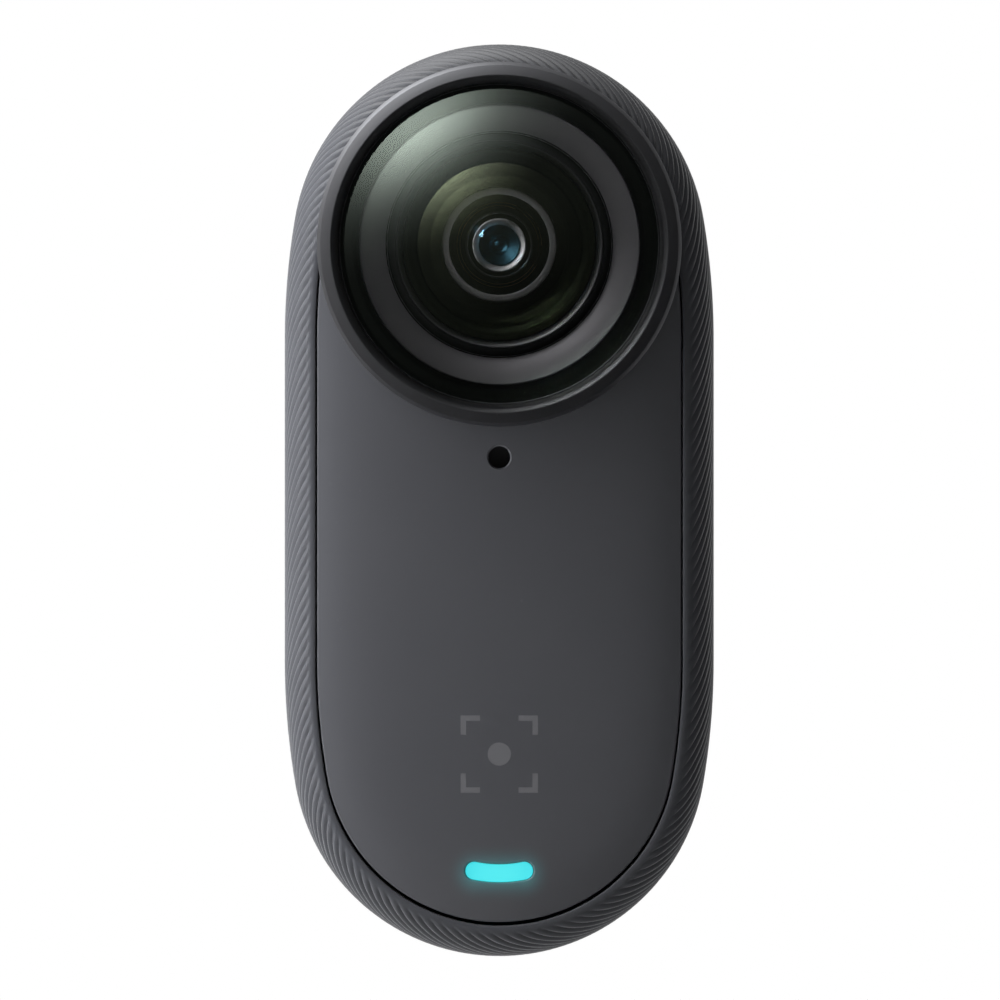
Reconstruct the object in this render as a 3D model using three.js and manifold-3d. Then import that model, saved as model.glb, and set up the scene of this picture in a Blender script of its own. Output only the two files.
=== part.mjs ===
// A thumb-sized action camera: a pill-shaped body with a screw-on domed lens guard, a rocking
// front panel that is the shutter button, and a power button in its right side.
// Millimetres. +Z is up, +X is to the right seen from the front, and the lens looks along -Y.
// The origin is the centre of the flat rear face. A "depth" is the distance in front of that face.
import * as THREE from "three";
import { mergeVertices } from "three/addons/utils/BufferGeometryUtils.js";
import Module from "manifold-3d";

const wasm = await Module();
wasm.setup();

// ---- Driving dimensions ----

const body = {
  width: 25.6,
  height: 54.4,
  depth: 15.75, // rear face to the middle of the front panel
  endEasing: 0.45, // the ends' radius is this much under half the width
  easingLength: 5.25, // how far each round end takes to ease into the straight side
  edgeWidth: 1.65, // the shell's rounded edges, seen from the front
  edgeDepth: 4.0, // and seen from the side
  rimLand: 0.22, // flat rim between the rounded edge and the opening
  rimStep: 0.35, // how far the shell's rims lie behind the middles of the two covers
};

const shell = {
  wall: 1.3,
  rearLedge: 0.97, // width of the ledge that the rear cover is bonded to
  ledgeThickness: 0.9,
  bossRadius: 1.25,
  bossHeight: 2.6,
  ribHeight: 2.3,
  ribWidth: 1.7,
};

const rearCover = {
  thickness: 1.3,
  gap: 0.1,
  gasketThickness: 0.3,
  edgeWidth: 1.2,
  edgeDepth: 0.3,
};

const panel = {
  thickness: 1.4,
  gap: 0.11, // to the shell along the sides
  lowerGap: 0.25, // to the shell at the lower end, where it travels most
  lensGap: 0.15, // to the collar
  edgeWidth: 1.8, // its edges fall away over this width
  edgeDepth: 0.35,
  hornsBelowLens: 0.95, // the horns beside the collar end this far under the lens axis
  micRadius: 0.65,
  micBelowCollar: 2.63,
};

const rocker = {
  belowLens: 8.85, // the rocking axis lies this far under the lens axis
  behindFront: 2.2,
  pinRadius: 0.3,
  pinClearance: 0.06,
  pinLength: 2.1,
  earWidth: 0.8,
  earHeight: 1.6,
  earGap: 0.2,
  earClearance: 0.12, // over each ear's tip
};

const light = { arcRadius: 7.35, width: 1.05, length: 4.05, gap: 0.04 };

const chassis = { thickness: 1.2, gap: 0.1 };

const collar = {
  gap: 0.12, // to the shell's opening
  flangeStep: 1.06, // the neck's radius is this much under the flange's
  neckWall: 0.45,
  neckHeight: 2.5, // above the flange
};

const thread = {
  starts: 3,
  span: 28, // degrees that each lug covers
  lead: 8, // rise for one turn
  lugReach: 0.4,
  lugThickness: 0.5,
  clearance: 0.1,
  firstAngle: 90,
};

const guard = {
  overhang: 0.81, // its skirt stands out past the collar's flange
  baseGap: 0.15, // to the front panel
  height: 4.7,
  skirtRelief: 0.6, // from the neck to the skirt's inner wall
  ledge: 0.7, // thickness of the ledge under the glass
  ledgeGap: 0.3,
  outerChamfer: 0.32,
  frontLand: 0.5,
  glassRise: 4.2, // from the ring's front to the top of the dome
  glassThickness: 0.8,
  glassGap: 0.06,
  glassRimDrop: 0.2,
};

const lens = {
  aboveEndCentre: 0.35, // the lens axis lies this far over the upper end's centre
  gap: 0.1, // barrel to collar
  faceWidth: 1.76, // the ring face round the front element
  faceHeight: 0.65,
  faceSlope: 0.25,
  retainerWidth: 0.89,
  elementRise: 3.3,
  elementRim: 0.8,
  elementCentre: 1.7, // thickness of the front element on its axis
  innerCellRadius: 3.4,
  innerRingWidth: 0.4,
  innerElementRadius: 2.0,
  tailRadius: 6.9,
  frontBelowNeck: 0.2,
};

const button = {
  length: 6.4,
  width: 2.4,
  gap: 0.1,
  flange: 0.7,
  flangeThickness: 0.4,
  recess: 0.05,
  travel: 0.3,
};

const battery = { edgeGap: 1.3, lowerMargin: 6.4, belowLens: 14.4, gap: 0.35 };

const board = { thickness: 0.8, edgeGap: 1.15, topMargin: 5.4 };

const contacts = { count: 5, pitch: 2.2, radius: 0.8, stemRadius: 0.4, aboveLowerEnd: 7.7, recess: 0.12 };

const speaker = { length: 8, height: 2.4, thickness: 3.55, gap: 0.25 };

const magnet = { width: 13, height: 7, thickness: 1.5, spacing: 19 };

const notch = { length: 5, width: 1.8, depth: 0.9, centreDepth: 4.1, fromEasing: 2.6 };

const screw = { shankRadius: 0.5, headRadius: 0.95, headHeight: 0.55, length: 3.0, clearance: 0.05 };

const fit = 0.05; // between pieces that are bonded or screwed face to face

// ---- Places worked out from them ----

const halfWidth = body.width / 2;
const halfHeight = body.height / 2;
const endRadius = halfWidth - body.endEasing;
const endCentre = halfHeight - endRadius; // height of the upper end's centre
const lensHeight = endCentre + lens.aboveEndCentre;
const straightHalf = endCentre - body.easingLength;
const easingRadius = (body.easingLength ** 2 / body.endEasing + endRadius + halfWidth) / 2;
const easingAngle = Math.atan2(body.easingLength, easingRadius - halfWidth);
const openingInset = body.edgeWidth + body.rimLand;

const rimFront = body.depth - body.rimStep;
const panelBack = body.depth - panel.thickness;
const ledgeBack = rearCover.thickness + rearCover.gasketThickness + 2 * fit;
const ledgeFront = ledgeBack + shell.ledgeThickness;

const chassisFront = body.depth - 3.05;
const chassisBack = chassisFront - chassis.thickness;
const bossFront = chassisBack - fit;
const keyBoardBack = chassisFront + fit;
const keyBoardFront = keyBoardBack + 0.4;
const magnetBack = rearCover.thickness + fit;
const spreaderBack = magnetBack + magnet.thickness + 0.1;
const spreaderFront = spreaderBack + 0.2;
const mainBoardBack = spreaderFront + 0.2;
const mainBoardFront = mainBoardBack + board.thickness;
const shieldFront = mainBoardFront + fit + 1.3;
const sensorBoardBack = shieldFront + 0.25;
const sensorBoardFront = sensorBoardBack + 0.6;

const flangeRadius = endRadius - openingInset - lens.aboveEndCentre - collar.gap;
const flangeFront = body.depth - fit;
const neckRadius = flangeRadius - collar.flangeStep;
const neckBore = neckRadius - collar.neckWall;
const neckFront = flangeFront + collar.neckHeight;
const panelHole = flangeRadius + panel.lensGap;

const guardRadius = flangeRadius + guard.overhang;
const guardBack = body.depth + guard.baseGap;
const guardFront = guardBack + guard.height;
const skirtInner = neckRadius + guard.skirtRelief;
const ledgeInner = skirtInner - 0.8;
const guardLedgeBack = neckFront + guard.ledgeGap;
const guardLedgeFront = guardLedgeBack + guard.ledge;
const glassRadius = skirtInner - guard.glassGap;
const glassApex = guardFront + guard.glassRise;
const glassEdge = guardFront - guard.glassRimDrop;

const barrelRadius = neckBore - lens.gap;
const barrelFront = neckFront - lens.frontBelowNeck;
const faceInner = barrelRadius - lens.faceWidth;
const elementRadius = faceInner - lens.retainerWidth - fit;
const elementEdge = barrelFront - 0.7;
const elementBack = elementEdge - lens.elementRim;
const innerCellBack = elementBack - 1.5;

const rockerHeight = lensHeight - rocker.belowLens;
const rockerDepth = body.depth - rocker.behindFront;
const shutterHeight = rockerHeight - 18;
const micHeight = lensHeight - flangeRadius - panel.micBelowCollar;
const buttonHeight = lensHeight - 10;
const buttonDepth = (rimFront + body.rimStep) / 2 - 0.4;
const speakerHeight = halfHeight - 4.4; // of its slot in the rear cover
const speakerReach = Math.sqrt((endRadius - shell.wall) ** 2 - (speaker.length / 2) ** 2);
const speakerTop = endCentre + speakerReach - speaker.gap;
const contactHeight = -halfHeight + contacts.aboveLowerEnd;
const notchHeight = notch.fromEasing - straightHalf;

// ---- Shaping helpers ----

const FINE = 48; // sides of the large turned pieces
const COARSE = 16;

// The camera's outline seen from the front, drawn in by inset. lowerTrim lifts the lower end.
function pillOutline(inset, lowerTrim = 0) {
  const arc = (x, z, radius, from, to, steps) =>
    new THREE.EllipseCurve(x, z, radius, radius, from, to).getPoints(steps);
  const swing = easingRadius - halfWidth;
  const upper = [
    ...arc(-swing, straightHalf, easingRadius - inset, 0, easingAngle, 2),
    ...arc(0, endCentre, endRadius - inset, easingAngle, Math.PI - easingAngle, 20).slice(1, -1),
    ...arc(swing, straightHalf, easingRadius - inset, Math.PI - easingAngle, Math.PI, 2),
  ];
  const lower = upper.map((p) => new THREE.Vector2(-p.x, -p.y + lowerTrim));
  return [...upper, ...lower];
}

// A flat outline made solid between two depths, with its edges rounded if rounding is given.
function slab(outline, back, front, rounding) {
  const thickness = front - back;
  const settings = rounding
    ? {
        depth: thickness - 2 * rounding.depth,
        bevelEnabled: true,
        bevelThickness: rounding.depth,
        bevelSize: rounding.width,
        bevelOffset: -rounding.width,
        bevelSegments: rounding.steps,
      }
    : { depth: thickness, bevelEnabled: false };
  return new THREE.ExtrudeGeometry(new THREE.Shape(outline), settings)
    .rotateX(Math.PI / 2)
    .translate(0, -back - (rounding ? rounding.depth : 0), 0);
}

// A plate between two depths, with only its outer face's edges rounded.
function coverPlate(outline, inner, outer, rounding) {
  const spare = Math.sign(inner - outer) * rounding.depth;
  const edges = [inner + spare, outer].sort((a, b) => a - b);
  const unwanted = [inner, inner + 2 * spare].sort((a, b) => a - b);
  return cut(
    slab(outline, ...edges, rounding),
    block(-halfWidth, halfWidth, ...unwanted, -halfHeight, halfHeight),
  );
}

function block(left, right, back, front, low, high) {
  return new THREE.BoxGeometry(right - left, front - back, high - low).translate(
    (left + right) / 2,
    -(back + front) / 2,
    (low + high) / 2,
  );
}

function disc(radius, back, front, x, z, sides = COARSE) {
  return new THREE.CylinderGeometry(radius, radius, front - back, sides).translate(x, -(back + front) / 2, z);
}

// A rod along X.
function rod(radius, left, right, depth, z) {
  return new THREE.CylinderGeometry(radius, radius, right - left, COARSE)
    .rotateZ(Math.PI / 2)
    .translate((left + right) / 2, -depth, z);
}

// A profile of [radius, depth] points turned about an axis along the depth.
function turned(profile, sides = FINE, x = 0, z = lensHeight) {
  const points = profile.map(([radius, depth]) => new THREE.Vector2(radius, -depth));
  if (THREE.ShapeUtils.area(points) < 0) {
    points.reverse();
  }
  const onAxis = points[0].x === 0 && points[points.length - 1].x === 0;
  return new THREE.LatheGeometry(onAxis ? points : [...points, points[0]], sides).translate(x, 0, z);
}

// Points of a dome from its edge at [radius, edge] to its top at [0, apex].
function dome(radius, edge, apex, steps) {
  const rise = apex - edge;
  const sphere = (radius ** 2 + rise ** 2) / (2 * rise);
  const opening = Math.asin(Math.min(1, radius / sphere));
  return Array.from({ length: steps + 1 }, (_, i) => {
    const angle = opening * (1 - i / steps);
    return [sphere * Math.sin(angle), apex - sphere * (1 - Math.cos(angle))];
  });
}

// A slot-shaped outline, long along Z.
function slotOutline(length, width, steps = 8) {
  const radius = width / 2;
  const reach = length / 2 - radius;
  const end = new THREE.EllipseCurve(0, reach, radius, radius, 0, Math.PI).getPoints(steps);
  return [...end, ...end.map((p) => new THREE.Vector2(-p.x, -p.y))];
}

// An outline made solid between two places along X.
function sideSlab(outline, left, right, depth, z) {
  return new THREE.ExtrudeGeometry(new THREE.Shape(outline), { depth: right - left, bevelEnabled: false })
    .rotateX(Math.PI / 2)
    .rotateZ(Math.PI / 2)
    .translate(left, -depth, z);
}

// A thread lug: a block bent round the lens axis, climbing with the thread's lead.
function threadLug(inner, outer, back, front, angle) {
  const steps = 6;
  const geometry = new THREE.BoxGeometry(1, 1, 1, 1, 1, steps);
  const place = geometry.getAttribute("position");
  for (let i = 0; i < place.count; i++) {
    const turn = place.getZ(i) * thread.span;
    const radius = THREE.MathUtils.mapLinear(place.getX(i), -0.5, 0.5, inner, outer);
    const flatDepth = THREE.MathUtils.mapLinear(place.getY(i), 0.5, -0.5, back, front);
    const depth = flatDepth + (thread.lead * turn) / 360;
    const a = THREE.MathUtils.degToRad(angle + turn);
    place.setXYZ(i, radius * Math.cos(a), -depth, lensHeight + radius * Math.sin(a));
  }
  return geometry;
}

function toSolid(geometry) {
  const bare = geometry.index ? geometry.toNonIndexed() : geometry.clone();
  bare.deleteAttribute("normal");
  bare.deleteAttribute("uv");
  const merged = mergeVertices(bare, 1e-4);
  const triVerts = new Uint32Array(merged.index.array);
  const solid = new wasm.Manifold(
    new wasm.Mesh({ numProp: 3, vertProperties: merged.getAttribute("position").array, triVerts }),
  );
  if (solid.volume() > 0) {
    return solid;
  }
  triVerts.reverse();
  return new wasm.Manifold(
    new wasm.Mesh({ numProp: 3, vertProperties: merged.getAttribute("position").array, triVerts }),
  );
}

function toGeometry(solid) {
  const mesh = solid.getMesh();
  return new THREE.BufferGeometry()
    .setAttribute("position", new THREE.BufferAttribute(mesh.vertProperties, 3))
    .setIndex(new THREE.BufferAttribute(mesh.triVerts, 1));
}

const join = (...pieces) => toGeometry(pieces.map(toSolid).reduce((all, piece) => all.add(piece)));
const cut = (piece, ...tools) =>
  toGeometry(tools.map(toSolid).reduce((all, tool) => all.subtract(tool), toSolid(piece)));
const keep = (piece, region) => toGeometry(toSolid(piece).intersect(toSolid(region)));

// ---- Materials ----

const finish = (color, roughness, metalness = 0) =>
  new THREE.MeshStandardMaterial({ color, roughness, metalness });

const materials = {
  shell: finish(0x3a3b3f, 0.62),
  panel: finish(0x45464a, 0.5),
  trim: finish(0x2b2c30, 0.4),
  black: finish(0x0c0c0e, 0.5),
  face: finish(0x504f54, 0.45),
  glass: Object.assign(finish(0x9fb0a6, 0.05), { transparent: true, opacity: 0.35 }),
  light: Object.assign(finish(0x4ee6f2, 0.4), { emissive: new THREE.Color(0x23d4e8) }),
  gold: finish(0xd4a548, 0.3, 1),
  steel: finish(0xa8abb0, 0.35, 1),
  magnet: finish(0x8f9297, 0.3, 1),
  boardGreen: finish(0x16402e, 0.5),
  chip: finish(0x17181a, 0.55),
  battery: finish(0x33373f, 0.45),
  rubber: finish(0x141416, 0.8),
};

const camera = new THREE.Group();

function add(name, geometry, material) {
  const mesh = new THREE.Mesh(geometry, materials[material]);
  mesh.name = name;
  camera.add(mesh);
}

// ---- Shell and covers ----

// Places of the four chassis screws: two beside the lens, two at the lower end.
const edgeReach = endRadius - openingInset - chassis.gap - screw.headRadius - screw.clearance;
const upperReach = edgeReach - 0.5;
const lowerReach = edgeReach - 0.35;
const screwPlaces = [
  [45, 1, upperReach],
  [135, 1, upperReach],
  [-62, -1, lowerReach],
  [-118, -1, lowerReach],
].map(([degrees, end, reach]) => {
  const angle = THREE.MathUtils.degToRad(degrees);
  return { angle, end, reach, x: reach * Math.cos(angle), z: end * endCentre + reach * Math.sin(angle) };
});

function screwBoss({ angle, end, reach, x, z }) {
  const wallReach = endRadius - shell.wall + 0.3;
  const post = disc(shell.bossRadius, bossFront - shell.bossHeight, bossFront, x, z);
  const rib = new THREE.BoxGeometry(wallReach - reach, shell.ribHeight, shell.ribWidth)
    .translate((wallReach + reach) / 2, 0, 0)
    .rotateY(-angle)
    .translate(0, shell.bossHeight - shell.ribHeight / 2 - bossFront, end * endCentre);
  return join(post, rib);
}

function makeSideShell() {
  const rounding = { depth: body.edgeDepth, width: body.edgeWidth, steps: 5 };
  const outside = slab(pillOutline(0), body.rimStep, rimFront, rounding);
  const inside = [
    slab(pillOutline(openingInset), 0, ledgeBack),
    slab(pillOutline(openingInset + shell.rearLedge), 0, body.depth),
    slab(pillOutline(shell.wall), ledgeFront, bossFront),
    slab(pillOutline(openingInset), bossFront - 0.1, body.depth),
  ];
  const buttonHole = sideSlab(
    slotOutline(button.length + 2 * button.gap, button.width + 2 * button.gap),
    halfWidth - 2 * shell.wall,
    halfWidth + 1,
    buttonDepth,
    buttonHeight,
  );
  const notches = [-1, 1].map((side) =>
    block(
      side * (halfWidth - notch.depth) - (side < 0 ? 2 : 0),
      side * (halfWidth - notch.depth) + (side < 0 ? 0 : 2),
      notch.centreDepth - notch.width / 2,
      notch.centreDepth + notch.width / 2,
      notchHeight - notch.length / 2,
      notchHeight + notch.length / 2,
    ),
  );
  const bosses = screwPlaces.map(screwBoss);
  const pilotHoles = screwPlaces.map(({ x, z }) =>
    disc(screw.shankRadius + screw.clearance, bossFront - screw.length, body.depth, x, z),
  );
  return cut(join(cut(outside, ...inside), ...bosses), buttonHole, ...notches, ...pilotHoles);
}

function contactPlaces() {
  const first = (-(contacts.count - 1) * contacts.pitch) / 2;
  return Array.from({ length: contacts.count }, (_, i) => first + i * contacts.pitch);
}

function makeRearCover() {
  const rounding = { depth: rearCover.edgeDepth, width: rearCover.edgeWidth, steps: 3 };
  const plate = coverPlate(pillOutline(openingInset + rearCover.gap), rearCover.thickness, 0, rounding);
  const holes = contactPlaces().flatMap((x) => [
    disc(contacts.radius + 0.08, -1, 0.6, x, contactHeight),
    disc(contacts.stemRadius + 0.08, 0.5, 3, x, contactHeight),
  ]);
  const speakerSlot = slab(slotOutline(4.4, 0.8), -1, 3)
    .rotateY(Math.PI / 2)
    .translate(0, 0, speakerHeight);
  return cut(plate, ...holes, speakerSlot);
}

function makeRearGasket() {
  const outer = pillOutline(openingInset + rearCover.gap);
  const inner = pillOutline(openingInset + shell.rearLedge + rearCover.gap);
  const back = rearCover.thickness + fit;
  return cut(slab(outer, back, back + rearCover.gasketThickness), slab(inner, 0, body.depth));
}

add("side_shell", makeSideShell(), "shell");
add("rear_cover", makeRearCover(), "panel");
add("rear_gasket", makeRearGasket(), "rubber");

// ---- Front panel, which rocks on two pins, with its light guide ----

const earInner = halfWidth - openingInset - panel.gap - 0.35 - rocker.earWidth;
const chassisEarInner = earInner - rocker.earGap - rocker.earWidth;

function ear(side, inner, back, front) {
  const edges = [side * inner, side * (inner + rocker.earWidth)].sort((a, b) => a - b);
  const half = rocker.earHeight / 2;
  return block(edges[0], edges[1], back, front, rockerHeight - half, rockerHeight + half);
}

function pinHole(side) {
  const reach = [side * (chassisEarInner - 1), side * (halfWidth - openingInset)].sort((a, b) => a - b);
  return rod(rocker.pinRadius + rocker.pinClearance, reach[0], reach[1], rockerDepth, rockerHeight);
}

// A bar bent concentric with the lower end, with round tips.
function lightOutline(grow) {
  const half = light.width / 2 + grow;
  const bend = Math.asin((light.length - light.width) / 2 / light.arcRadius);
  const from = -Math.PI / 2 - bend;
  const to = -Math.PI / 2 + bend;
  const tip = (angle) => [light.arcRadius * Math.cos(angle), light.arcRadius * Math.sin(angle) - endCentre];
  const arc = (x, z, radius, start, end, clockwise) =>
    new THREE.EllipseCurve(x, z, radius, radius, start, end, clockwise).getPoints(6);
  return [
    ...arc(0, -endCentre, light.arcRadius + half, from, to, false),
    ...arc(...tip(to), half, to, to + Math.PI, false).slice(1, -1),
    ...arc(0, -endCentre, light.arcRadius - half, to, from, true),
    ...arc(...tip(from), half, from + Math.PI, from + 2 * Math.PI, false).slice(1, -1),
  ];
}

function makeFrontPanel() {
  const outline = pillOutline(openingInset + panel.gap, panel.lowerGap - panel.gap);
  const rounding = { depth: panel.edgeDepth, width: panel.edgeWidth, steps: 4 };
  const plate = coverPlate(outline, panelBack, body.depth, rounding);
  const hornTop = lensHeight - panel.hornsBelowLens;
  const trimmed = cut(
    plate,
    disc(panelHole, 0, 2 * body.depth, 0, lensHeight, FINE),
    block(-halfWidth, halfWidth, 0, 2 * body.depth, hornTop, 2 * halfHeight),
  );
  const ears = [-1, 1].map((side) =>
    ear(side, earInner, chassisFront + rocker.earClearance, panelBack + 0.3),
  );
  return cut(
    join(trimmed, ...ears),
    disc(panel.micRadius, 0, 2 * body.depth, 0, micHeight),
    slab(lightOutline(light.gap), 0, 2 * body.depth),
    pinHole(-1),
    pinHole(1),
  );
}

add("front_panel", makeFrontPanel(), "panel");
add("status_light_guide", slab(lightOutline(0), panelBack + 0.1, body.depth - 0.02), "light");

// ---- Chassis behind the panel, its screws and the rocker's pins ----

function makeChassis() {
  const plate = slab(pillOutline(openingInset + chassis.gap), chassisBack, chassisFront);
  const ears = [-1, 1].map((side) =>
    ear(side, chassisEarInner, chassisFront - 0.3, panelBack - rocker.earClearance),
  );
  const screwHoles = screwPlaces.flatMap(({ x, z }) => [
    disc(screw.shankRadius + screw.clearance, 0, body.depth, x, z),
    disc(screw.headRadius + screw.clearance, chassisFront - screw.headHeight - fit, body.depth, x, z),
  ]);
  return cut(
    join(plate, ...ears),
    disc(lens.tailRadius + lens.gap, 0, body.depth, 0, lensHeight, FINE),
    ...screwHoles,
    pinHole(-1),
    pinHole(1),
  );
}

add("front_chassis", makeChassis(), "black");

screwPlaces.forEach(({ x, z }, i) => {
  const top = chassisFront - fit;
  const under = top - screw.headHeight + fit;
  const profile = [
    [0, bossFront - screw.length + 0.2],
    [screw.shankRadius, bossFront - screw.length + 0.2],
    [screw.shankRadius, under],
    [screw.headRadius, under],
    [screw.headRadius, top],
    [0, top],
  ];
  add("chassis_screw_" + (i + 1), turned(profile, COARSE, x, z), "steel");
});

for (const [side, name] of [[-1, "left"], [1, "right"]]) {
  const ends = [side * (chassisEarInner + 0.05), side * (chassisEarInner + 0.05 + rocker.pinLength)];
  const [from, to] = ends.sort((a, b) => a - b);
  add("rocker_pin_" + name, rod(rocker.pinRadius, from, to, rockerDepth, rockerHeight), "steel");
}

// ---- Lens collar, its thread and the guard that screws on it ----

const lugAngles = Array.from(
  { length: thread.starts },
  (_, i) => thread.firstAngle + (i * 360) / thread.starts,
);
const guardLugBack = flangeFront + 0.45;
const collarLugBack = guardLugBack + thread.lugThickness + thread.clearance;

function makeCollar() {
  const ring = turned([
    [flangeRadius, chassisFront + fit],
    [flangeRadius, flangeFront - 0.2],
    [flangeRadius - 0.2, flangeFront],
    [neckRadius, flangeFront],
    [neckRadius, neckFront],
    [neckBore, neckFront],
    [neckBore, chassisFront + fit],
  ]);
  const lugs = lugAngles.map((angle) =>
    threadLug(
      neckRadius - 0.2,
      neckRadius + thread.lugReach,
      collarLugBack,
      collarLugBack + thread.lugThickness,
      angle,
    ),
  );
  return join(ring, ...lugs);
}

function makeGuardRing() {
  const ring = turned([
    [guardRadius - 0.12, guardBack],
    [guardRadius, guardBack + 0.2],
    [guardRadius, guardFront - guard.outerChamfer],
    [guardRadius - guard.outerChamfer, guardFront],
    [guardRadius - guard.outerChamfer - guard.frontLand, guardFront],
    [glassRadius + guard.glassGap, glassEdge - 0.2],
    [glassRadius + guard.glassGap, guardLedgeFront],
    [ledgeInner, guardLedgeFront],
    [ledgeInner, guardLedgeBack],
    [skirtInner, guardLedgeBack],
    [skirtInner, guardBack],
  ]);
  const lugs = lugAngles.map((angle) =>
    threadLug(
      neckRadius + thread.clearance,
      skirtInner + 0.2,
      guardLugBack,
      guardLugBack + thread.lugThickness,
      angle,
    ),
  );
  return join(ring, ...lugs);
}

function makeGuardGlass() {
  const outer = dome(glassRadius, glassEdge, glassApex, 6);
  const rimInner = glassRadius - guard.glassThickness;
  const inner = dome(rimInner, glassEdge - 0.25, glassApex - guard.glassThickness, 5);
  const rimBack = guardLedgeFront + fit;
  return turned([...inner.reverse(), [rimInner, rimBack], [glassRadius, rimBack], ...outer]);
}

function makeGuardSeal() {
  const middle = (neckFront + guardLedgeBack) / 2;
  const half = (guardLedgeBack - neckFront) / 2 - 0.02;
  return turned(
    [
      [neckBore + 0.05, middle - half],
      [neckRadius - 0.05, middle - half],
      [neckRadius - 0.05, middle + half],
      [neckBore + 0.05, middle + half],
    ],
    FINE,
  );
}

add("lens_collar", makeCollar(), "black");
add("guard_ring", makeGuardRing(), "trim");
add("guard_glass", makeGuardGlass(), "glass");
add("guard_seal", makeGuardSeal(), "rubber");

// ---- Lens ----

const holderBack = sensorBoardFront + 0.15;
const sensorFront = sensorBoardFront + fit + 0.8;
const filterBack = sensorFront + 0.4;

function makeBarrel() {
  const bore = lens.innerElementRadius + 0.1;
  const tube = turned([
    [bore, holderBack],
    [lens.tailRadius, holderBack],
    [lens.tailRadius, chassisFront + fit],
    [barrelRadius, chassisFront + fit],
    [barrelRadius, barrelFront],
    [faceInner + fit, barrelFront],
    [faceInner + fit, elementEdge - 0.05],
    [elementRadius + 0.1, elementEdge - 0.05],
    [elementRadius + 0.1, elementBack - 0.1],
    [lens.innerCellRadius + 0.05, elementBack - 0.1],
    [lens.innerCellRadius + 0.05, innerCellBack],
    [bore, innerCellBack],
  ]);
  return cut(
    tube,
    block(-4.6, 4.6, 0, sensorFront + 0.2, lensHeight - 4.1, lensHeight + 4.1),
    disc(3.2, 0, filterBack + 0.5, 0, lensHeight),
  );
}

function makeFaceRing() {
  return turned([
    [faceInner, barrelFront + fit],
    [barrelRadius - 0.05, barrelFront + fit],
    [barrelRadius - 0.05, barrelFront + lens.faceHeight - lens.faceSlope],
    [faceInner, barrelFront + lens.faceHeight],
  ]);
}

function makeRetainer() {
  const outer = faceInner - fit;
  return turned([
    [elementRadius + fit, elementEdge + fit],
    [outer, elementEdge + fit],
    [outer, barrelFront + 0.45],
    [outer - 0.25, barrelFront + 0.65],
    [elementRadius + fit, barrelFront + 0.3],
  ]);
}

function makeFrontElement() {
  const apex = elementEdge + lens.elementRise;
  const outer = dome(elementRadius, elementEdge, apex, 5);
  const hollow = dome(elementRadius - 1.2, elementBack, apex - lens.elementCentre, 4);
  return turned([...hollow.reverse(), [elementRadius, elementBack], ...outer]);
}

function makeInnerRetainer() {
  const front = elementBack - 0.2;
  return turned(
    [
      [lens.innerCellRadius, innerCellBack + fit],
      [lens.innerCellRadius, front],
      [lens.innerCellRadius - lens.innerRingWidth, front],
      [lens.innerElementRadius - 0.05, innerCellBack + 0.45],
      [lens.innerElementRadius - 0.05, innerCellBack + fit],
    ],
    FINE,
  );
}

function makeInnerElement(back, edge, apex) {
  return turned(
    [[0, back], [lens.innerElementRadius, back], ...dome(lens.innerElementRadius, edge, apex, 4)],
    COARSE,
  );
}

add("lens_barrel", makeBarrel(), "black");
add("lens_face_ring", makeFaceRing(), "face");
add("front_element_retainer", makeRetainer(), "black");
add("front_element", makeFrontElement(), "glass");
add("inner_cell_ring", makeInnerRetainer(), "face");
add("second_element", makeInnerElement(innerCellBack - 1.5, innerCellBack - 0.5, innerCellBack), "glass");
add("rear_element", makeInnerElement(filterBack + 1.2, filterBack + 1.5, filterBack + 2), "glass");
add("infrared_filter", disc(3.1, filterBack, filterBack + 0.3, 0, lensHeight), "glass");
add(
  "image_sensor",
  block(-4.2, 4.2, sensorBoardFront + fit, sensorFront, lensHeight - 3.7, lensHeight + 3.7),
  "chip",
);
add(
  "sensor_board",
  block(-7, 7, sensorBoardBack, sensorBoardFront, lensHeight - 7, lensHeight + 7),
  "boardGreen",
);

// ---- Boards, battery and what else the body holds ----

function makeSensorFlex() {
  const connectorHeight = lensHeight - 10.8;
  const top = sensorBoardBack - 0.1;
  const path = [
    [lensHeight - 5.5, top],
    [connectorHeight + 1, top],
    [connectorHeight, top - 1],
    [connectorHeight, mainBoardFront + fit],
    [connectorHeight - 0.2, mainBoardFront + fit],
    [connectorHeight - 0.2, top - 0.92],
    [connectorHeight + 0.92, top + 0.2 - fit - 0.1],
    [lensHeight - 7.1, top + 0.2 - fit - 0.1],
    [lensHeight - 5.5, top + 0.05],
  ].map(([z, depth]) => new THREE.Vector2(-depth, z));
  const strip = new THREE.ExtrudeGeometry(new THREE.Shape(path), { depth: 5, bevelEnabled: false });
  return strip.rotateX(Math.PI / 2).rotateZ(Math.PI / 2).translate(-2.5, 0, 0);
}

function makeMainBoard() {
  const plate = slab(pillOutline(openingInset + board.edgeGap), mainBoardBack, mainBoardFront);
  return keep(
    plate,
    block(-halfWidth, halfWidth, 0, body.depth, -halfHeight + 3.2, halfHeight - board.topMargin),
  );
}

function makeSpeaker() {
  const back = mainBoardFront + 0.45;
  const reach = speaker.length / 2;
  return block(-reach, reach, back, back + speaker.thickness, speakerTop - speaker.height, speakerTop);
}

function makeHeatSpreader() {
  const plate = slab(pillOutline(openingInset + shell.rearLedge + 0.2), spreaderBack, spreaderFront);
  return keep(
    plate,
    block(-halfWidth, halfWidth, 0, body.depth, -halfHeight, halfHeight - board.topMargin - 0.2),
  );
}

function makeBattery() {
  const cell = slab(
    pillOutline(shell.wall + battery.edgeGap),
    mainBoardFront + battery.gap,
    bossFront - battery.gap,
  );
  const low = -halfHeight + battery.lowerMargin;
  return keep(cell, block(-halfWidth, halfWidth, 0, body.depth, low, lensHeight - battery.belowLens));
}

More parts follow.
